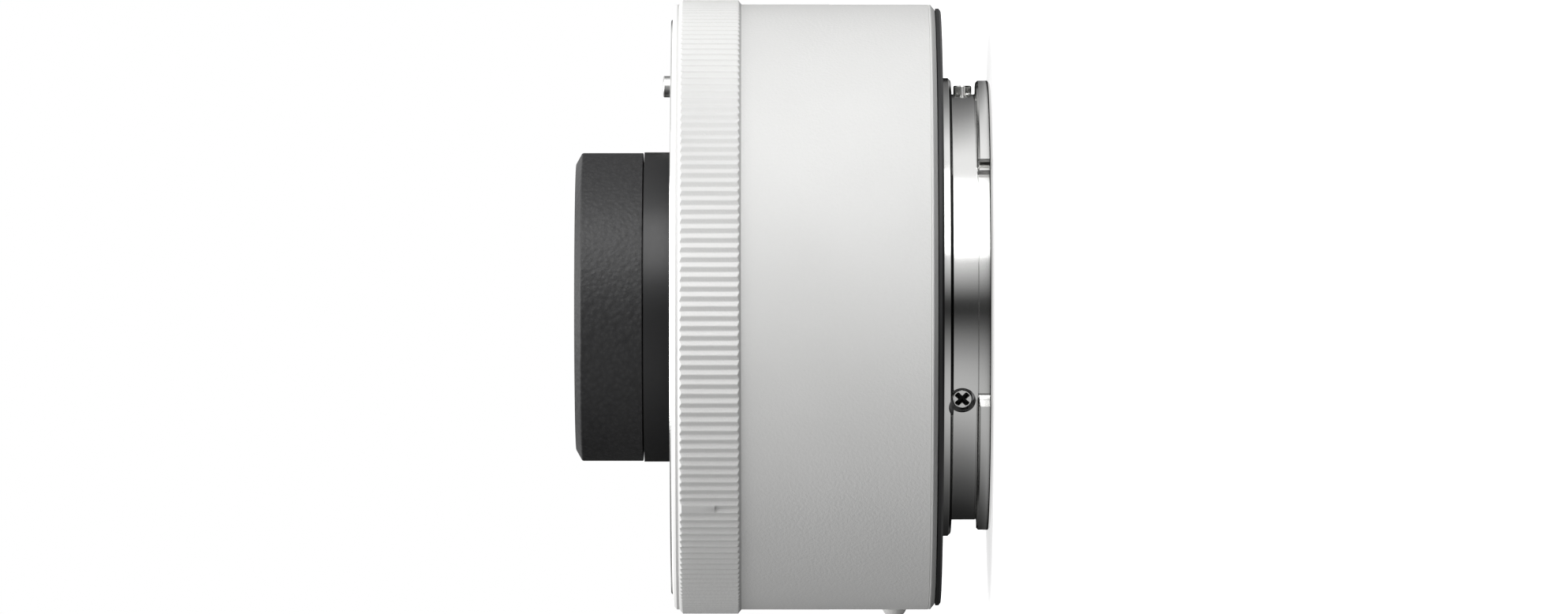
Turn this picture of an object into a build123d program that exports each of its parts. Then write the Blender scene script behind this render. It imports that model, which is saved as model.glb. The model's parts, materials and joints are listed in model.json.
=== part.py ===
"""Camera teleconverter with a white barrel, built as an assembly of its real pieces.

Millimetres. The optical axis is Z. The origin is the centre of the seat that meets the camera, and the
front, where the lens goes on, is towards +Z. Polar angles are counted about +Z from +X, in degrees.
Radii build up from the neck of the bayonet, outwards and inwards, and heights from the rear to the front.
"""

from build123d import *

import math
import os

os.makedirs("parts", exist_ok=True)

# Fits between pieces
slip_gap = 0.03
running_gap = 0.05
loose_gap = 0.25
cut_overrun = 1.0

# Camera side bayonet, male
neck_radius = 21.64
neck_wall = 1.34
register_rise = 1.66
register_length = 1.32
register_chamfer = 0.3
tab_front_depth = 3.84
tab_length = 1.45
tab_rise = 1.4
tab_front_chamfer = 0.2
tab_rear_chamfer = 0.28
tab_start_angles = (-50.0, 72.0, 191.1)
tab_span_angles = (60.0, 57.0, 53.3)
tab_ramp_angle = 2.3
stop_lug_rise = 0.66
stop_lug_start_angle = -52.1
stop_lug_span_angle = 0.9
rear_flange_width = 5.3
rear_flange_thickness = 2.0
lock_hole_radius = 1.25
lock_hole_depth = 1.6
shim_thickness = 0.1

# Countersunk screws of both mount rings
mount_screw_offset = 2.8
mount_screw_count = 4
mount_screw_start_angle = 75.0
mount_screw_head_radius = 1.45
mount_screw_radius = 0.75
mount_screw_length = 4.6
countersink_angle = 90.0

# Screws through the neck, two of them sunk in pockets
neck_screw_angles = (126.0, -115.6)
neck_screw_depth = 2.2
neck_screw_head_radius = 1.03
neck_screw_head_height = 0.6
neck_screw_sink = 0.27
neck_screw_radius = 0.6
neck_screw_bite = 1.06
neck_pocket_radius = 1.36

# Third screw through the neck, whose head stands out as the stop of the bayonet's turn
stop_screw_angle = 0.0
stop_screw_depth = 2.53
stop_screw_head_radius = 0.93
stop_screw_head_height = 0.95
stop_spot_depth = 0.04

# Cross recesses in the screw heads
recess_width_share = 0.28
recess_length_share = 1.3
recess_depth_share = 0.42
recess_turn_angles = (45.0, -45.0)

# Front seat, where the lens goes on, female
front_flange_thickness = 2.2
front_seat_chamfer = 0.12
front_register_depth = 1.5
front_tab_depth = 3.4
front_tab_gap = 0.26
front_tab_start_angles = (-48.0, 74.0, 193.0)
front_tab_span_angles = (58.0, 53.0, 50.0)
front_boss_width = 1.0
mount_spring_thickness = 0.25
mount_spring_arm_angle = 40.0
mount_spring_root_angle = 5.0
mount_spring_slot = 0.2

# Seal behind the barrel
seal_width = 1.7
seal_lip = 0.18
seal_edge = 0.12
seal_tongue_width = 0.9
seal_tongue_height = 1.6

# White barrel, its ribbed ring and its front rim
barrel_wall = 1.0
barrel_rear_height = 0.345
barrel_chamfer_width = 0.46
barrel_chamfer_height = 0.415
barrel_bevel_width = 0.02
barrel_bevel_height = 0.13
barrel_line_width = 0.12
barrel_line_depth = 0.06
grip_length = 6.29
grip_drop = 0.82
grip_rise = 0.42
grip_groove_depth = 0.25
grip_rib_count = 200
grip_crest_angle = -89.87
grip_end_chamfer = 0.35
grip_wall = 0.95
grip_index_rib = 22
grip_index_length = 3.37
rim_width = 1.54
rim_front_drop = 0.14
rim_cone_width = 0.17
rim_cone_drop = 0.22
rim_edge_drop = 0.31
rim_bore_gap = 0.06

# Circuit board and its cables
board_rear_space = 4.1
board_thickness = 0.8
board_post_length = 4.3
board_post_radius = 1.1
board_post_inset = 2.8
board_inner_gap = 1.5
board_outer_gap = 0.2
board_start_angle = -62.0
board_span_angle = 304.0
board_screw_angles = (50.0, 140.0, 230.0)
board_screw_length = 3.0
chip_angles = (95.0, 150.0, 205.0)
chip_lengths = (5.0, 3.2, 4.0)
chip_thickness = 0.9
flex_width = 8.0
flex_thickness = 0.15
front_flex_inset = 1.5
rear_flex_inset = 0.2

# Chassis
throat_web_thickness = 2.2
throat_depth = 13.57
throat_gap = 0.36
tab_cavity_gap = 0.86
tab_cavity_depth = 5.77
chassis_gap = 0.08
chassis_shoulder_gap = 0.04
chassis_shoulder_drop = 0.67
chassis_recess_depth = 2.3
chassis_skirt_wall = 1.8
chassis_post_radius = 1.9
chassis_post_gap = 0.2

# Contacts, the same circle on both sides
contact_count = 10
contact_inset = 1.7
contact_span_angle = 49.5
contact_pin_radius = 0.45
contact_pin_length = 5.95
contact_pin_proud = 0.9
contact_pin_tip = 0.2
contact_spring_length = 2.5
contact_spring_radius = 0.36
front_block_depth = 5.12
front_block_step_drop = 1.65
front_block_step_gap = 0.2
front_block_gap = 0.3
front_block_inner_width = 2.0
block_span_angle = 58.0
block_notch_angle = 1.0
rear_block_inner_width = 1.7
rear_block_rear_depth = 4.95
rear_block_front_depth = 1.0
contact_pad_length = 2.0
contact_pad_width = 1.3
contact_pad_thickness = 0.3
contact_pad_proud = 0.05

# Light baffle inside the neck
baffle_rear_depth = 4.6
baffle_front_depth = 0.6
baffle_plate_thickness = 0.7
baffle_wall = 1.05
window_width = 22.0
window_height = 15.0
window_corner = 1.5

# Lens barrel and the textured hood ring
collar_gap = 0.86
spigot_inset = 1.44
spigot_length = 5.19
front_bore_wall = 1.4
rear_tube_inset = 0.74
rear_tube_gap = 0.7
rear_tube_wall = 2.6
barrel_flange_width = 3.26
barrel_flange_thickness = 1.7
stop_width = 0.8
hood_inset = 0.08
hood_rear_gap = 0.11
hood_rise = 1.77
hood_chamfer_width = 1.14
hood_chamfer_height = 0.63
hood_mouth_width = 0.62
hood_lip_width = 0.6
hood_lip_height = 0.4

# Glass, from the rear to the front
retainer_recess = 0.97
retainer_length = 1.8
element_8_thickness = 2.83
element_8_curve = 45.0
spacer_3_length = 3.8
element_7_thickness = 2.4
element_7_curve = 50.0
spacer_2_air = 2.99
element_6_thickness = 1.7
element_5_centre = 1.09
element_5_curve = 41.0
element_4_thickness = 2.8
element_4_curve = 50.0
stop_air = 0.59
element_3_centre = 1.7
element_3_curve = 38.0
spacer_1_length = 2.3
element_2_centre = 0.9
element_2_curve = 40.0
element_1_rim = 1.42
element_1_curve = 45.0
front_retainer_recess = 0.632
glass_land = 1.0
glass_gap = 0.04
spacer_wall = 0.9

# Screws that hold the lens barrel, the contact block and the board
small_screw_radius = 0.6
small_screw_head_radius = 1.1
small_screw_head_height = 0.6
barrel_screw_offset = 1.66
barrel_screw_count = 3
barrel_screw_start_angle = 60.0
barrel_screw_length = 3.2
block_screw_inset = 1.3
block_screw_angle = 17.0
block_screw_length = 4.6

# Lock pin, its spring and the release lever
lock_angle = 30.5
lock_offset = 3.0
lock_pin_radius = 1.1
lock_pin_proud = 0.88
lock_pin_round = 0.35
lock_neck_radius = 0.8
lock_collar_radius = 1.7
lock_collar_height = 0.9
lock_tail_radius = 0.7
lock_tail_length = 5.4
lock_travel = 1.2
lock_spring_length = 4.0
lock_spring_bore_radius = 0.85
lock_spring_outer_radius = 1.45
lock_pocket_radius = 2.25
fork_thickness = 0.9
fork_width = 3.4
slider_plate_width = 5.2
slider_plate_length = 2.5
slider_plate_thickness = 0.8
slider_stem_width = 2.4
slider_stem_length = 1.9
knob_width = 8.6
knob_length = 6.2
knob_thickness = 1.5
knob_gap = 0.2
knob_front_gap = 0.06
knob_shift = 1.65
knob_edge = 0.35
knob_ridge_count = 4
knob_ridge_pitch = 1.25
knob_ridge_width = 0.55
knob_ridge_height = 0.35

# Index marks
bead_height = 4.39
bead_angle = 180.0
bead_sphere_radius = 1.28
bead_proud = 0.85
index_dot_radius = 0.8
index_dot_depth = 0.3
index_dot_inset = 1.19


def sag(curve, radius):
    """Depth of a spherical face from its vertex to a given radius."""
    return curve - math.sqrt(curve**2 - radius**2)


def radial_plane(angle):
    """Plane through the optical axis, with its x axis pointing out at a polar angle."""
    direction = Vector(1, 0, 0).rotate(Axis.Z, angle)
    return Plane((0, 0, 0), x_dir=direction, z_dir=direction.cross(Vector(0, 0, 1)))


def outward_plane(angle, radius, height):
    """Plane at a polar angle, radius and height that faces away from the optical axis."""
    direction = Vector(1, 0, 0).rotate(Axis.Z, angle)
    return Plane(direction * radius + Vector(0, 0, height), x_dir=(0, 0, 1), z_dir=direction)


def rear_plane(depth):
    """Plane behind the camera seat that faces the camera."""
    return Plane((0, 0, -depth), x_dir=(1, 0, 0), z_dir=(0, 0, -1))


def polar_point(radius, angle):
    """Point on a circle about the optical axis, for outlines seen along it."""
    return (radius * math.cos(math.radians(angle)), radius * math.sin(math.radians(angle)))


def save(part, name):
    part.label = name
    export_step(part, f"parts/{name}.step")


# Radii of the bayonets, the flanges and the barrel
neck_bore_radius = neck_radius - neck_wall
neck_screw_seat = neck_radius - neck_screw_sink - neck_screw_head_height
stop_screw_seat = neck_radius - stop_spot_depth
neck_screw_tip = neck_bore_radius - neck_screw_bite
register_radius = neck_radius + register_rise
tab_radius = neck_radius + tab_rise
stop_lug_radius = neck_radius + stop_lug_rise
rear_flange_radius = register_radius + rear_flange_width
mount_screw_circle_radius = register_radius + mount_screw_offset
lock_circle_radius = register_radius + lock_offset
front_boss_radius = register_radius + front_boss_width
barrel_rear_radius = rear_flange_radius + seal_width
barrel_edge_radius = barrel_rear_radius + barrel_chamfer_width
barrel_radius = barrel_edge_radius + barrel_bevel_width
barrel_bore_radius = barrel_radius - barrel_wall
front_ring_radius = barrel_radius - rim_width
rim_cone_radius = barrel_radius - rim_cone_width
grip_crest_radius = barrel_radius + grip_rise
grip_bore_radius = grip_crest_radius - grip_wall
barrel_neck_radius = grip_bore_radius - running_gap
seal_tongue_radius = rear_flange_radius + seal_tongue_width
chassis_radius = barrel_bore_radius - chassis_gap
chassis_shoulder_radius = front_ring_radius - chassis_shoulder_gap
chassis_skirt_radius = chassis_radius - chassis_skirt_wall
chassis_inner_radius = mount_screw_circle_radius - chassis_post_radius - chassis_post_gap
throat_radius = neck_radius + throat_gap
tab_cavity_radius = tab_radius + tab_cavity_gap
index_dot_circle_radius = front_ring_radius - index_dot_inset

# Radii of the contacts, the lens barrel and the glass
contact_circle_radius = neck_bore_radius - contact_inset
rear_block_inner_radius = contact_circle_radius - rear_block_inner_width
front_block_inner_radius = contact_circle_radius - front_block_inner_width
front_block_outer_radius = throat_radius - front_block_gap
front_block_step_radius = neck_bore_radius - front_block_step_gap
block_screw_circle_radius = front_block_outer_radius - block_screw_inset
collar_radius = front_block_inner_radius - collar_gap
spigot_radius = collar_radius - spigot_inset
front_bore_radius = spigot_radius - front_bore_wall
rear_tube_radius = collar_radius - rear_tube_inset
rear_bore_radius = rear_tube_radius - rear_tube_wall
stop_radius = rear_bore_radius - stop_width
barrel_flange_radius = collar_radius + barrel_flange_width
barrel_screw_circle_radius = collar_radius + barrel_screw_offset
hood_radius = collar_radius - hood_inset
hood_front_radius = hood_radius - hood_chamfer_width
hood_mouth_radius = hood_front_radius - hood_mouth_width
hood_lip_radius = front_bore_radius - hood_lip_width
front_glass_radius = front_bore_radius - glass_gap
rear_glass_radius = rear_bore_radius - glass_gap
front_clear_radius = front_glass_radius - glass_land
rear_clear_radius = rear_glass_radius - glass_land
board_inner_radius = rear_tube_radius + board_inner_gap
board_outer_radius = mount_screw_circle_radius - chassis_post_radius - board_outer_gap
board_post_circle_radius = board_outer_radius - board_post_inset
chip_circle_radius = (board_inner_radius + board_outer_radius) / 2
front_flex_radius = front_block_outer_radius - front_flex_inset
rear_flex_radius = contact_circle_radius - rear_flex_inset

# Heights of the chassis and of the two seats
bayonet_end_depth = tab_front_depth + tab_length
chassis_rear_height = rear_flange_thickness + shim_thickness
board_height = chassis_rear_height + board_rear_space
board_front = board_height + board_thickness
throat_web_height = board_front + board_post_length
throat_floor_height = throat_web_height + throat_web_thickness
chassis_underside_height = throat_web_height - chassis_recess_depth
barrel_flange_rear = throat_web_height - barrel_flange_thickness
front_seat_height = throat_floor_height + throat_depth
front_flange_rear = front_seat_height - front_flange_thickness
front_tab_front = front_seat_height - front_register_depth
front_tab_rear = front_seat_height - front_tab_depth
mount_spring_rear = front_tab_rear - mount_spring_thickness
tab_cavity_height = front_seat_height - tab_cavity_depth
chassis_shoulder_height = front_flange_rear - chassis_shoulder_drop
front_block_front_height = front_seat_height - front_block_depth
front_block_step_height = front_block_front_height - front_block_step_drop
contact_pin_top = front_block_front_height + contact_pin_proud
contact_pin_bottom = contact_pin_top - contact_pin_length

# Heights of the barrel, its ring and its rim
barrel_edge_height = barrel_rear_height + barrel_chamfer_height
barrel_side_height = barrel_edge_height + barrel_bevel_height
grip_front_height = front_seat_height - grip_drop
grip_rear_height = grip_front_height - grip_length
rim_front_height = front_seat_height - rim_front_drop

# Heights of the lens barrel and the glass
rear_tube_end = baffle_plate_thickness - baffle_rear_depth + rear_tube_gap
element_8_rear = rear_tube_end + retainer_recess + retainer_length
element_8_vertex = element_8_rear - sag(element_8_curve, rear_clear_radius)
element_8_front = element_8_rear + element_8_thickness
element_7_rear = element_8_front + spacer_3_length
element_7_front = element_7_rear + element_7_thickness
element_7_vertex = element_7_front + sag(element_7_curve, rear_clear_radius)
element_6_rear = element_7_vertex + spacer_2_air
element_5_rear = element_6_rear + element_6_thickness
element_5_vertex = element_5_rear + sag(element_5_curve, rear_glass_radius)
element_4_rear = element_5_vertex + element_5_centre
stop_rear_height = element_4_rear + element_4_thickness
element_4_vertex = stop_rear_height + sag(element_4_curve, rear_clear_radius)
stop_front_height = element_4_vertex + stop_air
element_3_vertex = stop_front_height + element_3_centre
element_3_front = element_3_vertex + sag(element_3_curve, front_clear_radius)
element_2_rear = element_3_front + spacer_1_length
element_2_vertex = element_2_rear + sag(element_2_curve, front_clear_radius)
element_1_rear = element_2_vertex + element_2_centre
element_1_edge = element_1_rear + element_1_rim
element_1_vertex = element_1_edge + sag(element_1_curve, front_glass_radius)
retainer_seat = element_1_vertex - sag(element_1_curve, front_glass_radius - spacer_wall)
spigot_front_height = retainer_seat + retainer_length + front_retainer_recess
collar_front_height = spigot_front_height - spigot_length
hood_front_height = spigot_front_height + hood_rise
hood_chamfer_rear = hood_front_height - hood_chamfer_height
hood_lip_front = spigot_front_height + hood_lip_height

# Screws through the neck: angle, depth, seat, head radius, head height and pocket radius
neck_screw_rows = [
    (
        stop_screw_angle,
        stop_screw_depth,
        stop_screw_seat,
        stop_screw_head_radius,
        stop_screw_head_height,
        stop_screw_head_radius + running_gap,
    )
]
for place_angle in neck_screw_angles:
    neck_screw_rows.append(
        (
            place_angle,
            neck_screw_depth,
            neck_screw_seat,
            neck_screw_head_radius,
            neck_screw_head_height,
            neck_pocket_radius,
        )
    )

# Places of the lock pin and the release lever
knob_middle = grip_rear_height - knob_front_gap - knob_length / 2
slider_middle = knob_middle + knob_shift
stem_middle = slider_middle - lock_travel / 2
fork_height = slider_middle - fork_thickness / 2
fork_middle = slider_middle - lock_travel / 2
fork_reach = lock_circle_radius - lock_neck_radius - running_gap
slider_plate_outer = math.sqrt(barrel_bore_radius**2 - (slider_plate_width / 2) ** 2) - running_gap
slider_plate_radius = slider_plate_outer - slider_plate_thickness
slider_stem_height = barrel_radius + knob_gap + knob_thickness / 2 - slider_plate_radius
lock_neck_bottom = fork_height - running_gap
lock_neck_top = fork_height + fork_thickness + running_gap
lock_collar_bottom = lock_neck_bottom - lock_collar_height
lock_spring_seat = lock_collar_bottom - lock_spring_length
lock_tail_end = lock_collar_bottom - lock_tail_length
lock_pin_top = front_seat_height + lock_pin_proud
rib_pitch_angle = 360.0 / grip_rib_count
grip_index_angle = grip_crest_angle - (grip_index_rib + 0.5) * rib_pitch_angle
board_screw_places = [polar_point(board_post_circle_radius, angle) for angle in board_screw_angles]
block_screw_places = [
    polar_point(block_screw_circle_radius, angle) for angle in (block_screw_angle, -block_screw_angle)
]
lock_axis = Axis((*polar_point(lock_circle_radius, lock_angle), 0), (0, 0, 1))
lock_plane = Plane(lock_axis.position, x_dir=(1, 0, 0), z_dir=(0, -1, 0))

# Rear mount ring, the male bayonet
with BuildPart() as rear_mount_ring:
    with BuildSketch(Plane.XZ):
        with BuildLine():
            Polyline(
                (neck_bore_radius, -bayonet_end_depth),
                (neck_radius - tab_rear_chamfer, -bayonet_end_depth),
                (neck_radius, tab_rear_chamfer - bayonet_end_depth),
                (neck_radius, -register_length),
                (register_radius - register_chamfer, -register_length),
                (register_radius, register_chamfer - register_length),
                (register_radius, 0),
                (rear_flange_radius, 0),
                (rear_flange_radius, rear_flange_thickness),
                (neck_bore_radius, rear_flange_thickness),
                close=True,
            )
        make_face()
    revolve(axis=Axis.Z)
    for start, span in zip(tab_start_angles, tab_span_angles):
        with BuildSketch(radial_plane(start)):
            with BuildLine():
                Polyline(
                    (neck_bore_radius, -bayonet_end_depth),
                    (tab_radius - tab_rear_chamfer, -bayonet_end_depth),
                    (tab_radius, tab_rear_chamfer - bayonet_end_depth),
                    (tab_radius, -tab_front_depth - tab_front_chamfer),
                    (tab_radius - tab_front_chamfer, -tab_front_depth),
                    (neck_bore_radius, -tab_front_depth),
                    close=True,
                )
            make_face()
        revolve(axis=Axis.Z, revolution_arc=span)
    # A low lug before the first tab leaves a narrow slot beside it
    with BuildSketch(radial_plane(stop_lug_start_angle)):
        with BuildLine():
            Polyline(
                (neck_bore_radius, -bayonet_end_depth),
                (stop_lug_radius - tab_rear_chamfer, -bayonet_end_depth),
                (stop_lug_radius, tab_rear_chamfer - bayonet_end_depth),
                (stop_lug_radius, -tab_front_depth),
                (neck_bore_radius, -tab_front_depth),
                close=True,
            )
        make_face()
    revolve(axis=Axis.Z, revolution_arc=stop_lug_span_angle)
    # The third tab starts with a ramp
    with BuildSketch(Plane.XY.offset(-bayonet_end_depth + tab_rear_chamfer)):
        with BuildLine():
            Polyline(
                polar_point(tab_radius, tab_start_angles[2] + tab_span_angles[2]),
                polar_point(neck_radius, tab_start_angles[2] + tab_span_angles[2] + tab_ramp_angle),
                polar_point(neck_bore_radius, tab_start_angles[2] + tab_span_angles[2]),
                close=True,
            )
        make_face()
    extrude(amount=tab_length - tab_rear_chamfer - tab_front_chamfer)
    # Countersunk holes and the hole for the camera's lock pin
    with Locations(rear_plane(0)):
        with PolarLocations(mount_screw_circle_radius, mount_screw_count, -mount_screw_start_angle):
            CounterSinkHole(
                mount_screw_radius + running_gap,
                mount_screw_head_radius + running_gap,
                counter_sink_angle=countersink_angle,
            )
        with PolarLocations(lock_circle_radius, 1, -lock_angle):
            Hole(lock_hole_radius, depth=lock_hole_depth)
    # Pockets and clearance holes for the screws through the neck
    for angle, depth, seat, head_radius, head_height, pocket_radius in neck_screw_rows:
        with BuildSketch(outward_plane(angle, seat, -depth)):
            Circle(pocket_radius)
        extrude(amount=register_radius, mode=Mode.SUBTRACT)
        with BuildSketch(outward_plane(angle, neck_bore_radius - cut_overrun, -depth)):
            Circle(neck_screw_radius + running_gap)
        extrude(amount=register_radius, mode=Mode.SUBTRACT)
save(rear_mount_ring.part, "rear_mount_ring")


# Screws of the rear mount ring, flush with the camera seat
with BuildPart() as rear_mount_screws:
    with Locations(rear_plane(0)):
        with PolarLocations(mount_screw_circle_radius, mount_screw_count, -mount_screw_start_angle) as places:
            Cone(
                mount_screw_head_radius,
                mount_screw_radius,
                mount_screw_head_radius - mount_screw_radius,
                align=(Align.CENTER, Align.CENTER, Align.MIN),
                rotation=(180, 0, 0),
            )
            Cylinder(
                mount_screw_radius,
                mount_screw_length,
                align=(Align.CENTER, Align.CENTER, Align.MIN),
                rotation=(180, 0, 0),
            )
            for turn in recess_turn_angles:
                Box(
                    mount_screw_head_radius * recess_length_share,
                    mount_screw_head_radius * recess_width_share,
                    mount_screw_head_radius * recess_depth_share,
                    align=(Align.CENTER, Align.CENTER, Align.MAX),
                    rotation=(0, 0, turn),
                    mode=Mode.SUBTRACT,
                )
save(rear_mount_screws.part, "rear_mount_screws")


# Three screws through the neck hold the baffle and the contact block
with BuildPart() as neck_screws:
    for angle, depth, seat, head_radius, head_height, pocket_radius in neck_screw_rows:
        head_plane = outward_plane(angle, seat, -depth)
        with BuildSketch(head_plane):
            Circle(head_radius)
        extrude(amount=head_height)
        with BuildSketch(head_plane):
            Circle(neck_screw_radius)
        extrude(amount=neck_screw_tip - seat)
        with BuildSketch(head_plane.offset(head_height)):
            for turn in recess_turn_angles:
                Rectangle(
                    head_radius * recess_length_share,
                    head_radius * recess_width_share,
                    rotation=turn,
                )
        extrude(amount=-head_radius * recess_depth_share, mode=Mode.SUBTRACT)
save(neck_screws.part, "neck_screws")


# Thin shim that sets the distance between the two seats
with BuildPart() as rear_shim:
    with BuildSketch(Plane.XY.offset(rear_flange_thickness)):
        Circle(rear_flange_radius)
        Circle(chassis_inner_radius, mode=Mode.SUBTRACT)
        with PolarLocations(mount_screw_circle_radius, mount_screw_count, mount_screw_start_angle):
            Circle(mount_screw_radius + running_gap, mode=Mode.SUBTRACT)
    extrude(amount=shim_thickness)
save(rear_shim.part, "rear_shim")


# Black seal between the mount ring and the end of the barrel
with BuildPart() as rear_seal:
    with BuildSketch(Plane.XZ):
        with BuildLine():
            Polyline(
                (rear_flange_radius + running_gap, -seal_lip),
                (barrel_rear_radius - seal_edge, -seal_lip),
                (barrel_rear_radius, seal_edge - seal_lip),
                (barrel_rear_radius, barrel_rear_height),
                (seal_tongue_radius, barrel_rear_height),
                (seal_tongue_radius, seal_tongue_height),
                (rear_flange_radius + running_gap, seal_tongue_height),
                close=True,
            )
        make_face()
    revolve(axis=Axis.Z)
save(rear_seal.part, "rear_seal")


# White barrel, reduced at the front where the ribbed ring sits
with BuildPart() as main_barrel:
    with BuildSketch(Plane.XZ):
        with BuildLine():
            Polyline(
                (barrel_bore_radius, barrel_rear_height),
                (barrel_rear_radius, barrel_rear_height),
                (barrel_edge_radius, barrel_edge_height),
                (barrel_radius, barrel_side_height),
                (barrel_radius - barrel_line_depth, barrel_side_height + barrel_line_width / 2),
                (barrel_radius, barrel_side_height + barrel_line_width),
                (barrel_radius, grip_rear_height),
                (barrel_neck_radius, grip_rear_height),
                (barrel_neck_radius, grip_front_height),
                (barrel_bore_radius, grip_front_height),
                close=True,
            )
        make_face()
    revolve(axis=Axis.Z)
    # Slot for the stem of the release lever
    with BuildSketch(outward_plane(lock_angle, barrel_bore_radius - cut_overrun, stem_middle)):
        Rectangle(slider_stem_length + lock_travel + 2 * running_gap, slider_stem_width + 2 * running_gap)
    extrude(amount=barrel_wall + 2 * cut_overrun, mode=Mode.SUBTRACT)
    # Hole for the index bead
    with BuildSketch(outward_plane(bead_angle, barrel_bore_radius - cut_overrun, bead_height)):
        Circle(bead_sphere_radius + slip_gap)
    extrude(amount=barrel_wall + 2 * cut_overrun, mode=Mode.SUBTRACT)
save(main_barrel.part, "main_barrel")


# White bead glued into the barrel, the mark for mounting on the camera
with BuildPart() as index_bead:
    with BuildSketch(outward_plane(bead_angle, barrel_bore_radius, bead_height)):
        Circle(bead_sphere_radius)
    extrude(amount=barrel_wall)
    with Locations(outward_plane(bead_angle, barrel_radius + bead_proud - bead_sphere_radius, bead_height)):
        Sphere(bead_sphere_radius)
    split(bisect_by=outward_plane(bead_angle, barrel_bore_radius, bead_height), keep=Keep.TOP)
save(index_bead.part, "index_bead")


# Ribbed ring, a star outline with one groove filled as the mark for mounting the lens
with BuildPart() as grip_ring:
    with BuildSketch(Plane.XY.offset(grip_rear_height)):
        with BuildLine():
            outline = []
            for rib in range(grip_rib_count):
                crest_angle = grip_crest_angle + rib * rib_pitch_angle
                outline.append(polar_point(grip_crest_radius, crest_angle))
                outline.append(
                    polar_point(grip_crest_radius - grip_groove_depth, crest_angle + rib_pitch_angle / 2)
                )
            Polyline(*outline, close=True)
        make_face()
        Circle(grip_bore_radius, mode=Mode.SUBTRACT)
    extrude(amount=grip_front_height - grip_rear_height)
    with BuildSketch(Plane.XY.offset(grip_front_height - grip_index_length - grip_end_chamfer)):
        with BuildLine():
            Polyline(
                polar_point(grip_crest_radius, grip_index_angle - rib_pitch_angle / 2),
                polar_point(grip_crest_radius, grip_index_angle + rib_pitch_angle / 2),
                polar_point(grip_bore_radius + slip_gap, grip_index_angle + rib_pitch_angle / 2),
                polar_point(grip_bore_radius + slip_gap, grip_index_angle - rib_pitch_angle / 2),
                close=True,
            )
        make_face()
    extrude(amount=grip_index_length + grip_end_chamfer)
    # Both ends are chamfered down to the barrel
    with BuildSketch(Plane.XZ):
        with BuildLine():
            Polyline(
                (barrel_radius, grip_rear_height),
                (grip_crest_radius, grip_rear_height + grip_end_chamfer),
                (grip_crest_radius, grip_front_height - grip_end_chamfer),
                (barrel_radius, grip_front_height),
                (grip_bore_radius - cut_overrun, grip_front_height),
                (grip_bore_radius - cut_overrun, grip_rear_height),
                close=True,
            )
        make_face()
    revolve(axis=Axis.Z, mode=Mode.INTERSECT)
save(grip_ring.part, "grip_ring")


# White rim around the front mount ring, with a tongue inside the barrel
with BuildPart() as front_rim:
    with BuildSketch(Plane.XZ):
        with BuildLine():
            Polyline(
                (front_ring_radius + rim_bore_gap, rim_front_height),
                (rim_cone_radius, rim_front_height - rim_cone_drop),
                (barrel_radius, rim_front_height - rim_edge_drop),
                (barrel_radius, grip_front_height),
                (barrel_bore_radius - slip_gap, grip_front_height),
                (barrel_bore_radius - slip_gap, chassis_shoulder_height),
                (front_ring_radius + rim_bore_gap, chassis_shoulder_height),
                close=True,
            )
        make_face()
    revolve(axis=Axis.Z)
save(front_rim.part, "front_rim")


# Front mount ring, the female bayonet
with BuildPart() as front_mount_ring:
    with BuildSketch(Plane.XZ):
        with BuildLine():
            Polyline(
                (register_radius + running_gap, front_tab_rear),
                (front_boss_radius, front_tab_rear),
                (front_boss_radius, front_flange_rear),
                (front_ring_radius, front_flange_rear),
                (front_ring_radius, front_seat_height - front_seat_chamfer),
                (front_ring_radius - front_seat_chamfer, front_seat_height),
                (register_radius + running_gap, front_seat_height),
                close=True,
            )
        make_face()
    revolve(axis=Axis.Z)
    for start, span in zip(front_tab_start_angles, front_tab_span_angles):
        with BuildSketch(radial_plane(start)):
            with BuildLine():
                Polyline(
                    (neck_radius + front_tab_gap, front_tab_rear),
                    (front_boss_radius, front_tab_rear),
                    (front_boss_radius, front_tab_front),
                    (neck_radius + front_tab_gap, front_tab_front),
                    close=True,
                )
            make_face()
        revolve(axis=Axis.Z, revolution_arc=span)
    with Locations(Plane.XY.offset(front_seat_height)):
        with PolarLocations(lock_circle_radius, mount_screw_count, mount_screw_start_angle):
            CounterSinkHole(
                mount_screw_radius + running_gap,
                mount_screw_head_radius + running_gap,
                counter_sink_angle=countersink_angle,
            )
        with PolarLocations(lock_circle_radius, 1, lock_angle):
            Hole(lock_pin_radius + running_gap)
        with PolarLocations(index_dot_circle_radius, 1, grip_index_angle):
            Hole(index_dot_radius + slip_gap, depth=index_dot_depth)
save(front_mount_ring.part, "front_mount_ring")


# Screws of the front mount ring
with BuildPart() as front_mount_screws:
    with Locations(Plane.XY.offset(front_seat_height)):
        with PolarLocations(lock_circle_radius, mount_screw_count, mount_screw_start_angle):
            Cone(
                mount_screw_head_radius,
                mount_screw_radius,
                mount_screw_head_radius - mount_screw_radius,
                align=(Align.CENTER, Align.CENTER, Align.MIN),
                rotation=(180, 0, 0),
            )
            Cylinder(
                mount_screw_radius,
                mount_screw_length,
                align=(Align.CENTER, Align.CENTER, Align.MIN),
                rotation=(180, 0, 0),
            )
            for turn in recess_turn_angles:
                Box(
                    mount_screw_head_radius * recess_length_share,
                    mount_screw_head_radius * recess_width_share,
                    mount_screw_head_radius * recess_depth_share,
                    align=(Align.CENTER, Align.CENTER, Align.MAX),
                    rotation=(0, 0, turn),
                    mode=Mode.SUBTRACT,
                )
save(front_mount_screws.part, "front_mount_screws")


# Round mark let into the front seat, in line with the filled groove
with BuildPart() as lens_index_dot:
    with BuildSketch(Plane.XY.offset(front_seat_height - index_dot_depth)):
        with PolarLocations(index_dot_circle_radius, 1, grip_index_angle):
            Circle(index_dot_radius)
    extrude(amount=index_dot_depth)
save(lens_index_dot.part, "lens_index_dot")


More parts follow.
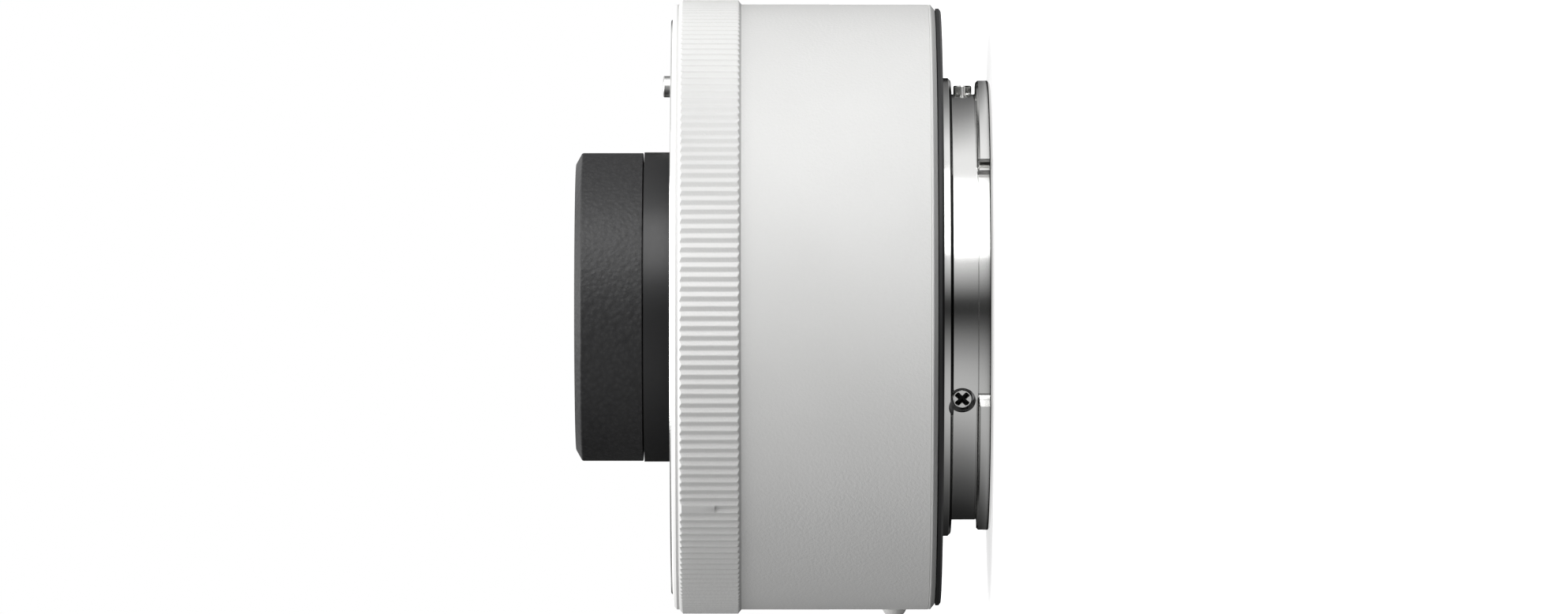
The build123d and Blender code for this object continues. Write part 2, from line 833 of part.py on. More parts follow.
# Spring plate behind the front tabs, a thin ring with three arms
with BuildPart() as mount_spring:
    with BuildSketch(Plane.XY.offset(mount_spring_rear)):
        Circle(front_boss_radius - running_gap)
        Circle(register_radius + running_gap, mode=Mode.SUBTRACT)
    extrude(amount=mount_spring_thickness)
    for start in front_tab_start_angles:
        with BuildSketch(radial_plane(start)):
            with BuildLine():
                Polyline(
                    (neck_radius + front_tab_gap, mount_spring_rear),
                    (register_radius + running_gap - mount_spring_slot, mount_spring_rear),
                    (register_radius + running_gap - mount_spring_slot, front_tab_rear),
                    (neck_radius + front_tab_gap, front_tab_rear),
                    close=True,
                )
            make_face()
        revolve(axis=Axis.Z, revolution_arc=mount_spring_arm_angle)
        with BuildSketch(radial_plane(start)):
            with BuildLine():
                Polyline(
                    (neck_radius + front_tab_gap, mount_spring_rear),
                    (register_radius + mount_spring_slot, mount_spring_rear),
                    (register_radius + mount_spring_slot, front_tab_rear),
                    (neck_radius + front_tab_gap, front_tab_rear),
                    close=True,
                )
            make_face()
        revolve(axis=Axis.Z, revolution_arc=mount_spring_root_angle)
save(mount_spring.part, "mount_spring")


# Chassis that carries both mount rings and the lens barrel
with BuildPart() as chassis:
    with BuildSketch(Plane.XZ):
        with BuildLine():
            Polyline(
                (collar_radius + running_gap, throat_web_height),
                (chassis_inner_radius, throat_web_height),
                (chassis_inner_radius, chassis_underside_height),
                (chassis_skirt_radius, chassis_underside_height),
                (chassis_skirt_radius, chassis_rear_height),
                (chassis_radius, chassis_rear_height),
                (chassis_radius, chassis_shoulder_height),
                (chassis_shoulder_radius, chassis_shoulder_height),
                (chassis_shoulder_radius, front_flange_rear),
                (front_boss_radius + slip_gap, front_flange_rear),
                (front_boss_radius + slip_gap, mount_spring_rear),
                (tab_cavity_radius, mount_spring_rear),
                (tab_cavity_radius, tab_cavity_height),
                (throat_radius, tab_cavity_height),
                (throat_radius, throat_floor_height),
                (collar_radius + running_gap, throat_floor_height),
                close=True,
            )
        make_face()
    revolve(axis=Axis.Z)
    # Posts that the rear mount ring is screwed to
    with BuildSketch(Plane.XY.offset(chassis_rear_height)):
        with PolarLocations(mount_screw_circle_radius, mount_screw_count, mount_screw_start_angle):
            Circle(chassis_post_radius)
    extrude(amount=chassis_underside_height - chassis_rear_height)
    with Locations(Plane.XY.offset(chassis_rear_height)):
        with PolarLocations(mount_screw_circle_radius, mount_screw_count, mount_screw_start_angle):
            Cylinder(
                mount_screw_radius + slip_gap,
                mount_screw_length,
                align=(Align.CENTER, Align.CENTER, Align.MIN),
                mode=Mode.SUBTRACT,
            )
    with Locations(Plane.XY.offset(front_flange_rear)):
        with PolarLocations(lock_circle_radius, mount_screw_count, mount_screw_start_angle):
            Hole(mount_screw_radius + slip_gap, depth=mount_screw_length)
    # Posts that the circuit board hangs from
    with BuildSketch(Plane.XY.offset(board_front)):
        with Locations(*board_screw_places):
            Circle(board_post_radius)
    extrude(amount=throat_web_height - board_front)
    with BuildSketch(Plane.XY.offset(board_front)):
        with Locations(*board_screw_places):
            Circle(small_screw_radius + slip_gap)
    extrude(amount=board_screw_length, mode=Mode.SUBTRACT)
    # Screw holes for the lens barrel and the contact block, and the way for the cable
    with BuildSketch(Plane.XY.offset(throat_web_height)):
        with PolarLocations(barrel_screw_circle_radius, barrel_screw_count, barrel_screw_start_angle):
            Circle(small_screw_radius + slip_gap)
    extrude(amount=barrel_screw_length - barrel_flange_thickness + running_gap, mode=Mode.SUBTRACT)
    with BuildSketch(Plane.XY.offset(throat_web_height)):
        with Locations(*block_screw_places):
            Circle(small_screw_radius + slip_gap)
        with Locations((front_flex_radius, 0)):
            Rectangle(flex_thickness + 2 * loose_gap, flex_width + 2 * loose_gap)
    extrude(amount=throat_web_thickness, mode=Mode.SUBTRACT)
    # Pocket for the lock pin and its spring, with the way in for the fork
    with Locations(Plane.XY.offset(front_flange_rear)):
        with PolarLocations(lock_circle_radius, 1, lock_angle):
            Hole(lock_collar_radius + 2 * slip_gap, depth=front_flange_rear - lock_spring_seat)
            Hole(lock_tail_radius + running_gap)
    with BuildSketch(Plane.XY.offset(lock_spring_seat)):
        with PolarLocations(lock_circle_radius, 1, lock_angle):
            Circle(lock_pocket_radius)
    extrude(amount=lock_neck_top + lock_travel - lock_spring_seat, mode=Mode.SUBTRACT)
    with BuildSketch(outward_plane(lock_angle, lock_circle_radius, fork_middle)):
        Rectangle(fork_thickness + lock_travel + 2 * loose_gap, fork_width + 2 * loose_gap)
    extrude(amount=lock_circle_radius, mode=Mode.SUBTRACT)
    with BuildSketch(outward_plane(lock_angle, slider_plate_radius - loose_gap, stem_middle)):
        Rectangle(
            slider_plate_length + lock_travel + 2 * loose_gap,
            slider_plate_width + 2 * loose_gap,
        )
    extrude(amount=lock_circle_radius, mode=Mode.SUBTRACT)
save(chassis.part, "chassis")


# Lens barrel with the smooth black collar, flanged where it is screwed to the chassis
with BuildPart() as lens_barrel:
    with BuildSketch(Plane.XZ):
        with BuildLine():
            Polyline(
                (rear_bore_radius, rear_tube_end),
                (rear_tube_radius, rear_tube_end),
                (rear_tube_radius, barrel_flange_rear),
                (barrel_flange_radius, barrel_flange_rear),
                (barrel_flange_radius, throat_web_height),
                (collar_radius, throat_web_height),
                (collar_radius, collar_front_height),
                (spigot_radius, collar_front_height),
                (spigot_radius, spigot_front_height),
                (front_bore_radius, spigot_front_height),
                (front_bore_radius, stop_front_height),
                (stop_radius, stop_front_height),
                (stop_radius, stop_rear_height),
                (rear_bore_radius, stop_rear_height),
                close=True,
            )
        make_face()
    revolve(axis=Axis.Z)
    with BuildSketch(Plane.XY.offset(barrel_flange_rear)):
        with PolarLocations(barrel_screw_circle_radius, barrel_screw_count, barrel_screw_start_angle):
            Circle(small_screw_radius + slip_gap)
    extrude(amount=barrel_flange_thickness, mode=Mode.SUBTRACT)
save(lens_barrel.part, "lens_barrel")


# Textured ring screwed on the front of the lens barrel
with BuildPart() as hood_shell:
    with BuildSketch(Plane.XZ):
        with BuildLine():
            Polyline(
                (spigot_radius + running_gap, collar_front_height + hood_rear_gap),
                (hood_radius, collar_front_height + hood_rear_gap),
                (hood_radius, hood_chamfer_rear),
                (hood_front_radius, hood_front_height),
                (hood_mouth_radius, hood_front_height),
                (hood_lip_radius, hood_lip_front),
                (hood_lip_radius, spigot_front_height),
                (spigot_radius + running_gap, spigot_front_height),
                close=True,
            )
        make_face()
    revolve(axis=Axis.Z)
save(hood_shell.part, "hood_shell")


# Glass elements, each with a flat land at its edge where its face is hollow or seats on a ring
with BuildPart() as lens_element_1:
    with BuildSketch(Plane.XZ):
        with BuildLine():
            Polyline(
                (0, element_1_vertex),
                (0, element_1_rear),
                (front_glass_radius, element_1_rear),
                (front_glass_radius, element_1_edge),
            )
            RadiusArc((front_glass_radius, element_1_edge), (0, element_1_vertex), -element_1_curve)
        make_face()
    revolve(axis=Axis.Z)
save(lens_element_1.part, "lens_element_1")

with BuildPart() as lens_element_2:
    with BuildSketch(Plane.XZ):
        with BuildLine():
            Polyline(
                (0, element_2_vertex),
                (0, element_1_rear),
                (front_glass_radius, element_1_rear),
                (front_glass_radius, element_2_rear),
                (front_clear_radius, element_2_rear),
            )
            RadiusArc(
                (front_clear_radius, element_2_rear),
                (0, element_2_vertex),
                -element_2_curve,
            )
        make_face()
    revolve(axis=Axis.Z)
save(lens_element_2.part, "lens_element_2")

with BuildPart() as lens_element_3:
    with BuildSketch(Plane.XZ):
        with BuildLine():
            Polyline(
                (0, element_3_vertex),
                (0, stop_front_height),
                (front_glass_radius, stop_front_height),
                (front_glass_radius, element_3_front),
                (front_clear_radius, element_3_front),
            )
            RadiusArc(
                (front_clear_radius, element_3_front),
                (0, element_3_vertex),
                element_3_curve,
            )
        make_face()
    revolve(axis=Axis.Z)
save(lens_element_3.part, "lens_element_3")

with BuildPart() as lens_element_4:
    with BuildSketch(Plane.XZ):
        with BuildLine():
            Polyline(
                (0, element_4_vertex),
                (0, element_4_rear),
                (rear_glass_radius, element_4_rear),
                (rear_glass_radius, stop_rear_height),
                (rear_clear_radius, stop_rear_height),
            )
            RadiusArc(
                (rear_clear_radius, stop_rear_height),
                (0, element_4_vertex),
                -element_4_curve,
            )
        make_face()
    revolve(axis=Axis.Z)
save(lens_element_4.part, "lens_element_4")

with BuildPart() as lens_element_5:
    with BuildSketch(Plane.XZ):
        with BuildLine():
            Polyline(
                (0, element_5_vertex),
                (0, element_4_rear),
                (rear_glass_radius, element_4_rear),
                (rear_glass_radius, element_5_rear),
            )
            RadiusArc((rear_glass_radius, element_5_rear), (0, element_5_vertex), -element_5_curve)
        make_face()
    revolve(axis=Axis.Z)
save(lens_element_5.part, "lens_element_5")

with BuildPart() as lens_element_6:
    with BuildSketch(Plane.XZ):
        with BuildLine():
            Polyline(
                (0, element_5_vertex),
                (0, element_6_rear),
                (rear_glass_radius, element_6_rear),
                (rear_glass_radius, element_5_rear),
            )
            RadiusArc((rear_glass_radius, element_5_rear), (0, element_5_vertex), -element_5_curve)
        make_face()
    revolve(axis=Axis.Z)
save(lens_element_6.part, "lens_element_6")

with BuildPart() as lens_element_7:
    with BuildSketch(Plane.XZ):
        with BuildLine():
            Polyline(
                (0, element_7_vertex),
                (0, element_7_rear),
                (rear_glass_radius, element_7_rear),
                (rear_glass_radius, element_7_front),
                (rear_clear_radius, element_7_front),
            )
            RadiusArc(
                (rear_clear_radius, element_7_front),
                (0, element_7_vertex),
                -element_7_curve,
            )
        make_face()
    revolve(axis=Axis.Z)
save(lens_element_7.part, "lens_element_7")

with BuildPart() as lens_element_8:
    with BuildSketch(Plane.XZ):
        with BuildLine():
            Polyline(
                (0, element_8_vertex),
                (0, element_8_front),
                (rear_glass_radius, element_8_front),
                (rear_glass_radius, element_8_rear),
                (rear_clear_radius, element_8_rear),
            )
            RadiusArc(
                (rear_clear_radius, element_8_rear),
                (0, element_8_vertex),
                element_8_curve,
            )
        make_face()
    revolve(axis=Axis.Z)
save(lens_element_8.part, "lens_element_8")


# Rings that space the glass and hold it in
with BuildPart() as front_retaining_ring:
    with BuildSketch(Plane.XY.offset(retainer_seat)):
        Circle(front_glass_radius)
        Circle(front_glass_radius - spacer_wall, mode=Mode.SUBTRACT)
    extrude(amount=retainer_length)
save(front_retaining_ring.part, "front_retaining_ring")

with BuildPart() as spacer_ring_1:
    with BuildSketch(Plane.XY.offset(element_3_front)):
        Circle(front_glass_radius)
        Circle(front_glass_radius - spacer_wall, mode=Mode.SUBTRACT)
    extrude(amount=element_2_rear - element_3_front)
save(spacer_ring_1.part, "spacer_ring_1")

with BuildPart() as spacer_ring_2:
    with BuildSketch(Plane.XY.offset(element_7_front)):
        Circle(rear_glass_radius)
        Circle(rear_glass_radius - spacer_wall, mode=Mode.SUBTRACT)
    extrude(amount=element_6_rear - element_7_front)
save(spacer_ring_2.part, "spacer_ring_2")

with BuildPart() as spacer_ring_3:
    with BuildSketch(Plane.XY.offset(element_8_front)):
        Circle(rear_glass_radius)
        Circle(rear_glass_radius - spacer_wall, mode=Mode.SUBTRACT)
    extrude(amount=element_7_rear - element_8_front)
save(spacer_ring_3.part, "spacer_ring_3")

with BuildPart() as rear_retaining_ring:
    with BuildSketch(Plane.XY.offset(element_8_rear)):
        Circle(rear_glass_radius)
        Circle(rear_glass_radius - spacer_wall, mode=Mode.SUBTRACT)
    extrude(amount=-retainer_length)
save(rear_retaining_ring.part, "rear_retaining_ring")


# Screws that hold the lens barrel's flange to the chassis
with BuildPart() as barrel_screws:
    with BuildSketch(Plane.XY.offset(barrel_flange_rear)):
        with PolarLocations(barrel_screw_circle_radius, barrel_screw_count, barrel_screw_start_angle):
            Circle(small_screw_head_radius)
    extrude(amount=-small_screw_head_height)
    with BuildSketch(Plane.XY.offset(barrel_flange_rear)):
        with PolarLocations(barrel_screw_circle_radius, barrel_screw_count, barrel_screw_start_angle):
            Circle(small_screw_radius)
    extrude(amount=barrel_screw_length)
save(barrel_screws.part, "barrel_screws")


# Front contact block, an arc on the floor of the throat
with BuildPart() as front_contact_block:
    with BuildSketch(radial_plane(-block_span_angle / 2)):
        with BuildLine():
            Polyline(
                (front_block_inner_radius, throat_floor_height),
                (front_block_outer_radius, throat_floor_height),
                (front_block_outer_radius, front_block_step_height),
                (front_block_step_radius, front_block_step_height),
                (front_block_step_radius, front_block_front_height),
                (front_block_inner_radius, front_block_front_height),
                close=True,
            )
        make_face()
    revolve(axis=Axis.Z, revolution_arc=block_span_angle)
    with BuildSketch(Plane.XY.offset(front_block_front_height)):
        with PolarLocations(
            contact_circle_radius, contact_count, -contact_span_angle / 2, contact_span_angle, endpoint=True
        ):
            Circle(contact_pin_radius + running_gap)
    extrude(
        amount=contact_pin_proud - contact_pin_length - contact_spring_length,
        mode=Mode.SUBTRACT,
    )
    with BuildSketch(Plane.XY.offset(throat_floor_height)):
        with Locations(*block_screw_places):
            Circle(small_screw_radius + slip_gap)
    extrude(amount=block_screw_length - throat_web_thickness + running_gap, mode=Mode.SUBTRACT)
save(front_contact_block.part, "front_contact_block")


# Sprung contact pins
with BuildPart() as front_contact_pins:
    with BuildSketch(Plane.XY.offset(contact_pin_bottom)):
        with PolarLocations(
            contact_circle_radius, contact_count, -contact_span_angle / 2, contact_span_angle, endpoint=True
        ):
            Circle(contact_pin_radius)
    extrude(amount=contact_pin_length)
    chamfer(front_contact_pins.edges().group_by(Axis.Z)[-1], length=contact_pin_tip)
save(front_contact_pins.part, "front_contact_pins")


# Springs behind the contact pins, plain rods because the block hides them
with BuildPart() as front_contact_springs:
    with BuildSketch(Plane.XY.offset(contact_pin_bottom)):
        with PolarLocations(
            contact_circle_radius, contact_count, -contact_span_angle / 2, contact_span_angle, endpoint=True
        ):
            Circle(contact_spring_radius)
    extrude(amount=-contact_spring_length)
save(front_contact_springs.part, "front_contact_springs")


# Screws that hold the front contact block down
with BuildPart() as contact_block_screws:
    with BuildSketch(Plane.XY.offset(throat_web_height)):
        with Locations(*block_screw_places):
            Circle(small_screw_head_radius)
    extrude(amount=-small_screw_head_height)
    with BuildSketch(Plane.XY.offset(throat_web_height)):
        with Locations(*block_screw_places):
            Circle(small_screw_radius)
    extrude(amount=block_screw_length)
save(contact_block_screws.part, "contact_block_screws")


# Horseshoe circuit board under the chassis web
with BuildPart() as circuit_board:
    with BuildSketch(radial_plane(board_start_angle)):
        with Locations(((board_inner_radius + board_outer_radius) / 2, (board_height + board_front) / 2)):
            Rectangle(board_outer_radius - board_inner_radius, board_thickness)
    revolve(axis=Axis.Z, revolution_arc=board_span_angle)
    with BuildSketch(Plane.XY.offset(board_height)):
        with Locations(*board_screw_places):
            Circle(small_screw_radius + slip_gap)
    extrude(amount=board_thickness, mode=Mode.SUBTRACT)
save(circuit_board.part, "circuit_board")


# Screws that hold the circuit board to its posts
with BuildPart() as board_screws:
    with BuildSketch(Plane.XY.offset(board_height)):
        with Locations(*board_screw_places):
            Circle(small_screw_head_radius)
    extrude(amount=-small_screw_head_height)
    with BuildSketch(Plane.XY.offset(board_height)):
        with Locations(*board_screw_places):
            Circle(small_screw_radius)
    extrude(amount=board_screw_length)
save(board_screws.part, "board_screws")


# Chips on the front face of the board
with BuildPart() as circuit_chips:
    for angle, length in zip(chip_angles, chip_lengths):
        with BuildSketch(Plane.XY.offset(board_front)):
            with PolarLocations(chip_circle_radius, 1, angle):
                Rectangle(length, length)
        extrude(amount=chip_thickness)
save(circuit_chips.part, "circuit_chips")


# Flat cables from the board to the two contact blocks
with BuildPart() as front_flex_cable:
    with BuildSketch(Plane.XY.offset(board_front)):
        with Locations((front_flex_radius, 0)):
            Rectangle(flex_thickness, flex_width)
    extrude(amount=throat_floor_height - board_front)
save(front_flex_cable.part, "front_flex_cable")

with BuildPart() as rear_flex_cable:
    with BuildSketch(Plane.XY.offset(-rear_block_front_depth)):
        with Locations((rear_flex_radius, 0)):
            Rectangle(flex_thickness, flex_width)
    extrude(amount=board_height + rear_block_front_depth)
save(rear_flex_cable.part, "rear_flex_cable")


# Rear contact block inside the neck, with pockets for its pads
with BuildPart() as rear_contact_block:
    with BuildSketch(radial_plane(-block_span_angle / 2)):
        with BuildLine():
            Polyline(
                (rear_block_inner_radius, -rear_block_rear_depth),
                (neck_bore_radius - running_gap, -rear_block_rear_depth),
                (neck_bore_radius - running_gap, -rear_block_front_depth),
                (rear_block_inner_radius, -rear_block_front_depth),
                close=True,
            )
        make_face()
    revolve(axis=Axis.Z, revolution_arc=block_span_angle)
    with BuildSketch(Plane.XY.offset(-rear_block_rear_depth)):
        with PolarLocations(
            contact_circle_radius, contact_count, -contact_span_angle / 2, contact_span_angle, endpoint=True
        ):
            Rectangle(contact_pad_length, contact_pad_width)
    extrude(amount=contact_pad_thickness - contact_pad_proud, mode=Mode.SUBTRACT)
    with BuildSketch(outward_plane(stop_screw_angle, neck_bore_radius, -stop_screw_depth)):
        Circle(neck_screw_radius + slip_gap)
    extrude(amount=-neck_screw_bite, mode=Mode.SUBTRACT)
save(rear_contact_block.part, "rear_contact_block")


# Contact pads that meet the camera
with BuildPart() as rear_contact_pads:
    with BuildSketch(Plane.XY.offset(-rear_block_rear_depth - contact_pad_proud)):
        with PolarLocations(
            contact_circle_radius, contact_count, -contact_span_angle / 2, contact_span_angle, endpoint=True
        ):
            Rectangle(contact_pad_length, contact_pad_width)
    extrude(amount=contact_pad_thickness)
save(rear_contact_pads.part, "rear_contact_pads")


# Light baffle inside the neck, a shallow cup with a window and a notch for the contact block
with BuildPart() as rear_baffle:
    with BuildSketch(Plane.XZ):
        with BuildLine():
            Polyline(
                (0, -baffle_rear_depth),
                (neck_bore_radius - running_gap, -baffle_rear_depth),
                (neck_bore_radius - running_gap, -baffle_front_depth),
                (neck_bore_radius - running_gap - baffle_wall, -baffle_front_depth),
                (neck_bore_radius - running_gap - baffle_wall, baffle_plate_thickness - baffle_rear_depth),
                (0, baffle_plate_thickness - baffle_rear_depth),
                close=True,
            )
        make_face()
    revolve(axis=Axis.Z)
    with BuildSketch(Plane.XY.offset(-baffle_rear_depth)):
        RectangleRounded(window_height, window_width, window_corner)
    extrude(amount=baffle_plate_thickness, mode=Mode.SUBTRACT)
    with BuildSketch(radial_plane(-block_span_angle / 2 - block_notch_angle)):
        with BuildLine():
            Polyline(
                (rear_block_inner_radius - running_gap, -baffle_rear_depth),
                (neck_bore_radius, -baffle_rear_depth),
                (neck_bore_radius, -baffle_front_depth),
                (rear_block_inner_radius - running_gap, -baffle_front_depth),
                close=True,
            )
        make_face()
    revolve(axis=Axis.Z, revolution_arc=block_span_angle + 2 * block_notch_angle, mode=Mode.SUBTRACT)
    for angle in neck_screw_angles:
        with BuildSketch(outward_plane(angle, neck_bore_radius, -neck_screw_depth)):
            Circle(neck_screw_radius + slip_gap)
        extrude(amount=-neck_screw_bite, mode=Mode.SUBTRACT)
save(rear_baffle.part, "rear_baffle")


# Lock pin that holds the lens, with a neck for the fork, a collar for the spring and a guided tail
with BuildPart() as lock_pin:
    with BuildSketch(lock_plane):
        with BuildLine():
            Polyline(
                (0, lock_tail_end),
                (lock_tail_radius, lock_tail_end),
                (lock_tail_radius, lock_collar_bottom),
                (lock_collar_radius, lock_collar_bottom),
                (lock_collar_radius, lock_neck_bottom),
                (lock_neck_radius, lock_neck_bottom),
                (lock_neck_radius, lock_neck_top),
                (lock_pin_radius, lock_neck_top),
                (lock_pin_radius, lock_pin_top - lock_pin_round),
                (lock_pin_radius - lock_pin_round, lock_pin_top),
                (0, lock_pin_top),
                close=True,
            )
        make_face()
    revolve(axis=lock_axis)
save(lock_pin.part, "lock_pin")


# Spring under the lock pin's collar, a plain tube because its pocket hides it
with BuildPart() as lock_pin_spring:
    with BuildSketch(Plane.XY.offset(lock_spring_seat)):
        with PolarLocations(lock_circle_radius, 1, lock_angle):
            Circle(lock_spring_outer_radius)
            Circle(lock_spring_bore_radius, mode=Mode.SUBTRACT)
    extrude(amount=lock_spring_length)
save(lock_pin_spring.part, "lock_pin_spring")


# Slider of the release lever: a plate inside the barrel, a stem through its slot and a fork round the pin
with BuildPart() as release_slider:
    with BuildSketch(outward_plane(lock_angle, slider_plate_radius, slider_middle)):
        Rectangle(slider_plate_length, slider_plate_width)
    extrude(amount=slider_plate_thickness)
    with BuildSketch(outward_plane(lock_angle, slider_plate_radius, slider_middle)):
        Rectangle(slider_stem_length, slider_stem_width)
    extrude(amount=slider_stem_height)
    with BuildSketch(Plane.XY.offset(fork_height)):
        with Locations(Plane.XY.rotated((0, 0, lock_angle))):
            with Locations(((fork_reach + slider_plate_radius) / 2, 0)):
                Rectangle(slider_plate_radius - fork_reach, fork_width)
            with Locations((lock_circle_radius, 0)):
                Circle(lock_neck_radius + running_gap, mode=Mode.SUBTRACT)
            with Locations(((fork_reach + lock_circle_radius) / 2, 0)):
                Rectangle(
                    lock_circle_radius - fork_reach,
                    2 * (lock_neck_radius + running_gap),
                    mode=Mode.SUBTRACT,
                )
    extrude(amount=fork_thickness)
save(release_slider.part, "release_slider")


# Knob of the release lever, pushed on the stem outside the barrel
with BuildPart() as release_knob:
    with BuildSketch(outward_plane(lock_angle, barrel_radius + knob_gap, knob_middle)):
        Rectangle(knob_length, knob_width)
    extrude(amount=knob_thickness)
    chamfer(
        release_knob.faces().sort_by_distance((0, 0, knob_middle))[-1].edges(),
        length=knob_edge,
    )
    with BuildSketch(outward_plane(lock_angle, barrel_radius + knob_gap + knob_thickness, knob_middle)):
        with GridLocations(knob_ridge_pitch, 0, knob_ridge_count, 1):
            Rectangle(knob_ridge_width, knob_width - 2 * knob_edge - knob_ridge_width)
    extrude(amount=knob_ridge_height)
    with BuildSketch(outward_plane(lock_angle, barrel_radius, slider_middle)):
        Rectangle(slider_stem_length + running_gap, slider_stem_width + running_gap)
    extrude(amount=slider_stem_height + slider_plate_radius - barrel_radius, mode=Mode.SUBTRACT)
save(release_knob.part, "release_knob")
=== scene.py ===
"""Looks of a camera teleconverter: finishes, lights and the surfaces that the solids leave plain.

The frame's origin is the centre of the camera seat, in metres. The optical axis is Z, with the lens side
towards +Z. The photograph looks along +Y with the axis lying level, so the camera is rolled a quarter turn.
"""

import sys
import json
import math

import bpy
import numpy as np
from mathutils import Matrix, Vector


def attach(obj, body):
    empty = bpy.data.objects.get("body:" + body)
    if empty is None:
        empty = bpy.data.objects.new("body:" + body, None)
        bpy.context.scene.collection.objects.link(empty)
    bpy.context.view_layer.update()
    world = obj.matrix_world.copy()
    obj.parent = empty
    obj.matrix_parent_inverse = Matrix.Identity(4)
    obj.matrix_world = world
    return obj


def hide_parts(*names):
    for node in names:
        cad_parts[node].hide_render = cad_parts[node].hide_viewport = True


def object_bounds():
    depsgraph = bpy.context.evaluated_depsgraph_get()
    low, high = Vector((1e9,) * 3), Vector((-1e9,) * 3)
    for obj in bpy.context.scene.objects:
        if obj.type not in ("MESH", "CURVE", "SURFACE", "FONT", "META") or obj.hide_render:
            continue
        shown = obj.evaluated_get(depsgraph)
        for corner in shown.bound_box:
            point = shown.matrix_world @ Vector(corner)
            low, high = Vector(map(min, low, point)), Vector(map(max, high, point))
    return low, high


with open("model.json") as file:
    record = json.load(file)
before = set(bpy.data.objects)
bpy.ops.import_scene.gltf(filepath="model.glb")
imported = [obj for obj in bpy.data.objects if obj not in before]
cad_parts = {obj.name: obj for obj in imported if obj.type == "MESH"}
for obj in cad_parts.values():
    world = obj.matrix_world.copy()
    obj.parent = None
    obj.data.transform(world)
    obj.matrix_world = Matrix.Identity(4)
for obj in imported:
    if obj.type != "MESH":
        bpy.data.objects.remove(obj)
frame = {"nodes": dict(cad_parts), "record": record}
cad_low, cad_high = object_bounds()

MM = 0.001

# The photograph's frame, its centre of view and its scale on the optical axis
photo_width_px = 1988
photo_scale_px_per_mm = 12.45
camera_seat_px = 1188.5
view_centre_px = 970.0
camera_distance = 1205.0 * MM
sensor_width_mm = 36.0
view_centre_height = (camera_seat_px - view_centre_px) / photo_scale_px_per_mm * MM

# Name of the attribute that says how deep in a recess a point lies; the metals get painted shade by it
recess_shade_mark = "recess"


class Value:
    """A shader socket with arithmetic: each sum or product adds one Math node."""

    def __init__(self, finish, socket):
        self.finish = finish
        self.socket = socket

    def maths(self, operation, *values):
        return self.finish.node("ShaderNodeMath", {"operation": operation}, values)["Value"]

    def __add__(self, other):
        return self.maths("ADD", self, other)

    __radd__ = __add__

    def __sub__(self, other):
        return self.maths("SUBTRACT", self, other)

    def __rsub__(self, other):
        return self.maths("SUBTRACT", other, self)

    def __mul__(self, other):
        return self.maths("MULTIPLY", self, other)

    __rmul__ = __mul__

    def __truediv__(self, other):
        return self.maths("DIVIDE", self, other)

    def __pow__(self, other):
        return self.maths("POWER", self, other)

    def larger(self, other):
        return self.maths("MAXIMUM", self, other)


class Finish:
    """A material, or the world, whose nodes are added by one method."""

    def __init__(self, name, tree=None):
        if tree is None:
            self.material = bpy.data.materials.new(name)
            self.material.use_nodes = True
            tree = self.material.node_tree
        self.tree = tree
        self.tree.nodes.clear()

    def node(self, kind, settings=None, inputs=()):
        """Adds a node, first its settings, then its inputs by number or by name. Returns its outputs."""
        made = self.tree.nodes.new(kind)
        for key, setting in (settings or {}).items():
            if key == "stops":
                ramp = made.color_ramp.elements
                while len(ramp) < len(setting):
                    ramp.new(1.0)
                for stop, (place, shade) in zip(ramp, setting):
                    stop.position = place
                    stop.color = (shade, shade, shade, 1.0) if isinstance(shade, float) else (*shade, 1.0)
            else:
                setattr(made, key, setting)
        given = inputs.items() if isinstance(inputs, dict) else enumerate(inputs)
        for key, value in given:
            if isinstance(value, Value):
                self.tree.links.new(value.socket, made.inputs[key])
            else:
                made.inputs[key].default_value = value
        return {output.name: Value(self, output) for output in made.outputs if output.enabled}

    def surface(self, **constants):
        """Adds the Principled shader and the output. Names have underscores for spaces."""
        inputs = {name.replace("_", " "): value for name, value in constants.items()}
        shader = self.node("ShaderNodeBsdfPrincipled", None, inputs)["BSDF"]
        self.node("ShaderNodeOutputMaterial", None, {"Surface": shader})
        return self.material

    def place(self):
        return self.node("ShaderNodeTexCoord")["Object"]

    def noise(self, place, scale, detail, roughness=0.5):
        return self.node(
            "ShaderNodeTexNoise",
            None,
            {"Vector": place, "Scale": scale, "Detail": detail, "Roughness": roughness},
        )["Fac"]

    def smooth_cells(self, place, scale):
        return self.node(
            "ShaderNodeTexVoronoi", {"feature": "SMOOTH_F1"}, {"Vector": place, "Scale": scale}
        )["Distance"]

    def ramp(self, value, *stops):
        return self.node("ShaderNodeValToRGB", {"stops": stops}, {"Fac": value})["Color"]

    def bump(self, height, distance, strength):
        return self.node(
            "ShaderNodeBump", None, {"Height": height, "Distance": distance, "Strength": strength}
        )["Normal"]

    def between(self, value, low, high):
        """Rises smoothly from 0 to 1 as a value goes from low to high."""
        return self.node(
            "ShaderNodeMapRange",
            {"interpolation_type": "SMOOTHSTEP"},
            {"Value": value, "From Min": low, "From Max": high},
        )["Result"]

    def parts(self, vector):
        return self.node("ShaderNodeSeparateXYZ", None, {"Vector": vector})

    def recess(self):
        """How deep in a recess the surface lies, from 0 to 1, as the piece's attribute says; it sets the
        painted shade.
        """
        return self.node("ShaderNodeAttribute", {"attribute_name": recess_shade_mark})["Fac"]


def white_paint():
    """Off-white paint with a fine orange-peel texture."""
    paint = Finish("white_paint")
    place = paint.place()
    fine = paint.noise(place, scale=3600.0, detail=3.0, roughness=0.6)
    coarse = paint.noise(place, scale=60.0, detail=2.0)
    return paint.surface(
        Base_Color=paint.ramp(coarse, (0.3, (0.80, 0.80, 0.79)), (0.7, (0.84, 0.84, 0.83))),
        Roughness=0.42 + 0.12 * fine,
        Normal=paint.bump(fine, distance=0.04 * MM, strength=0.8),
    )


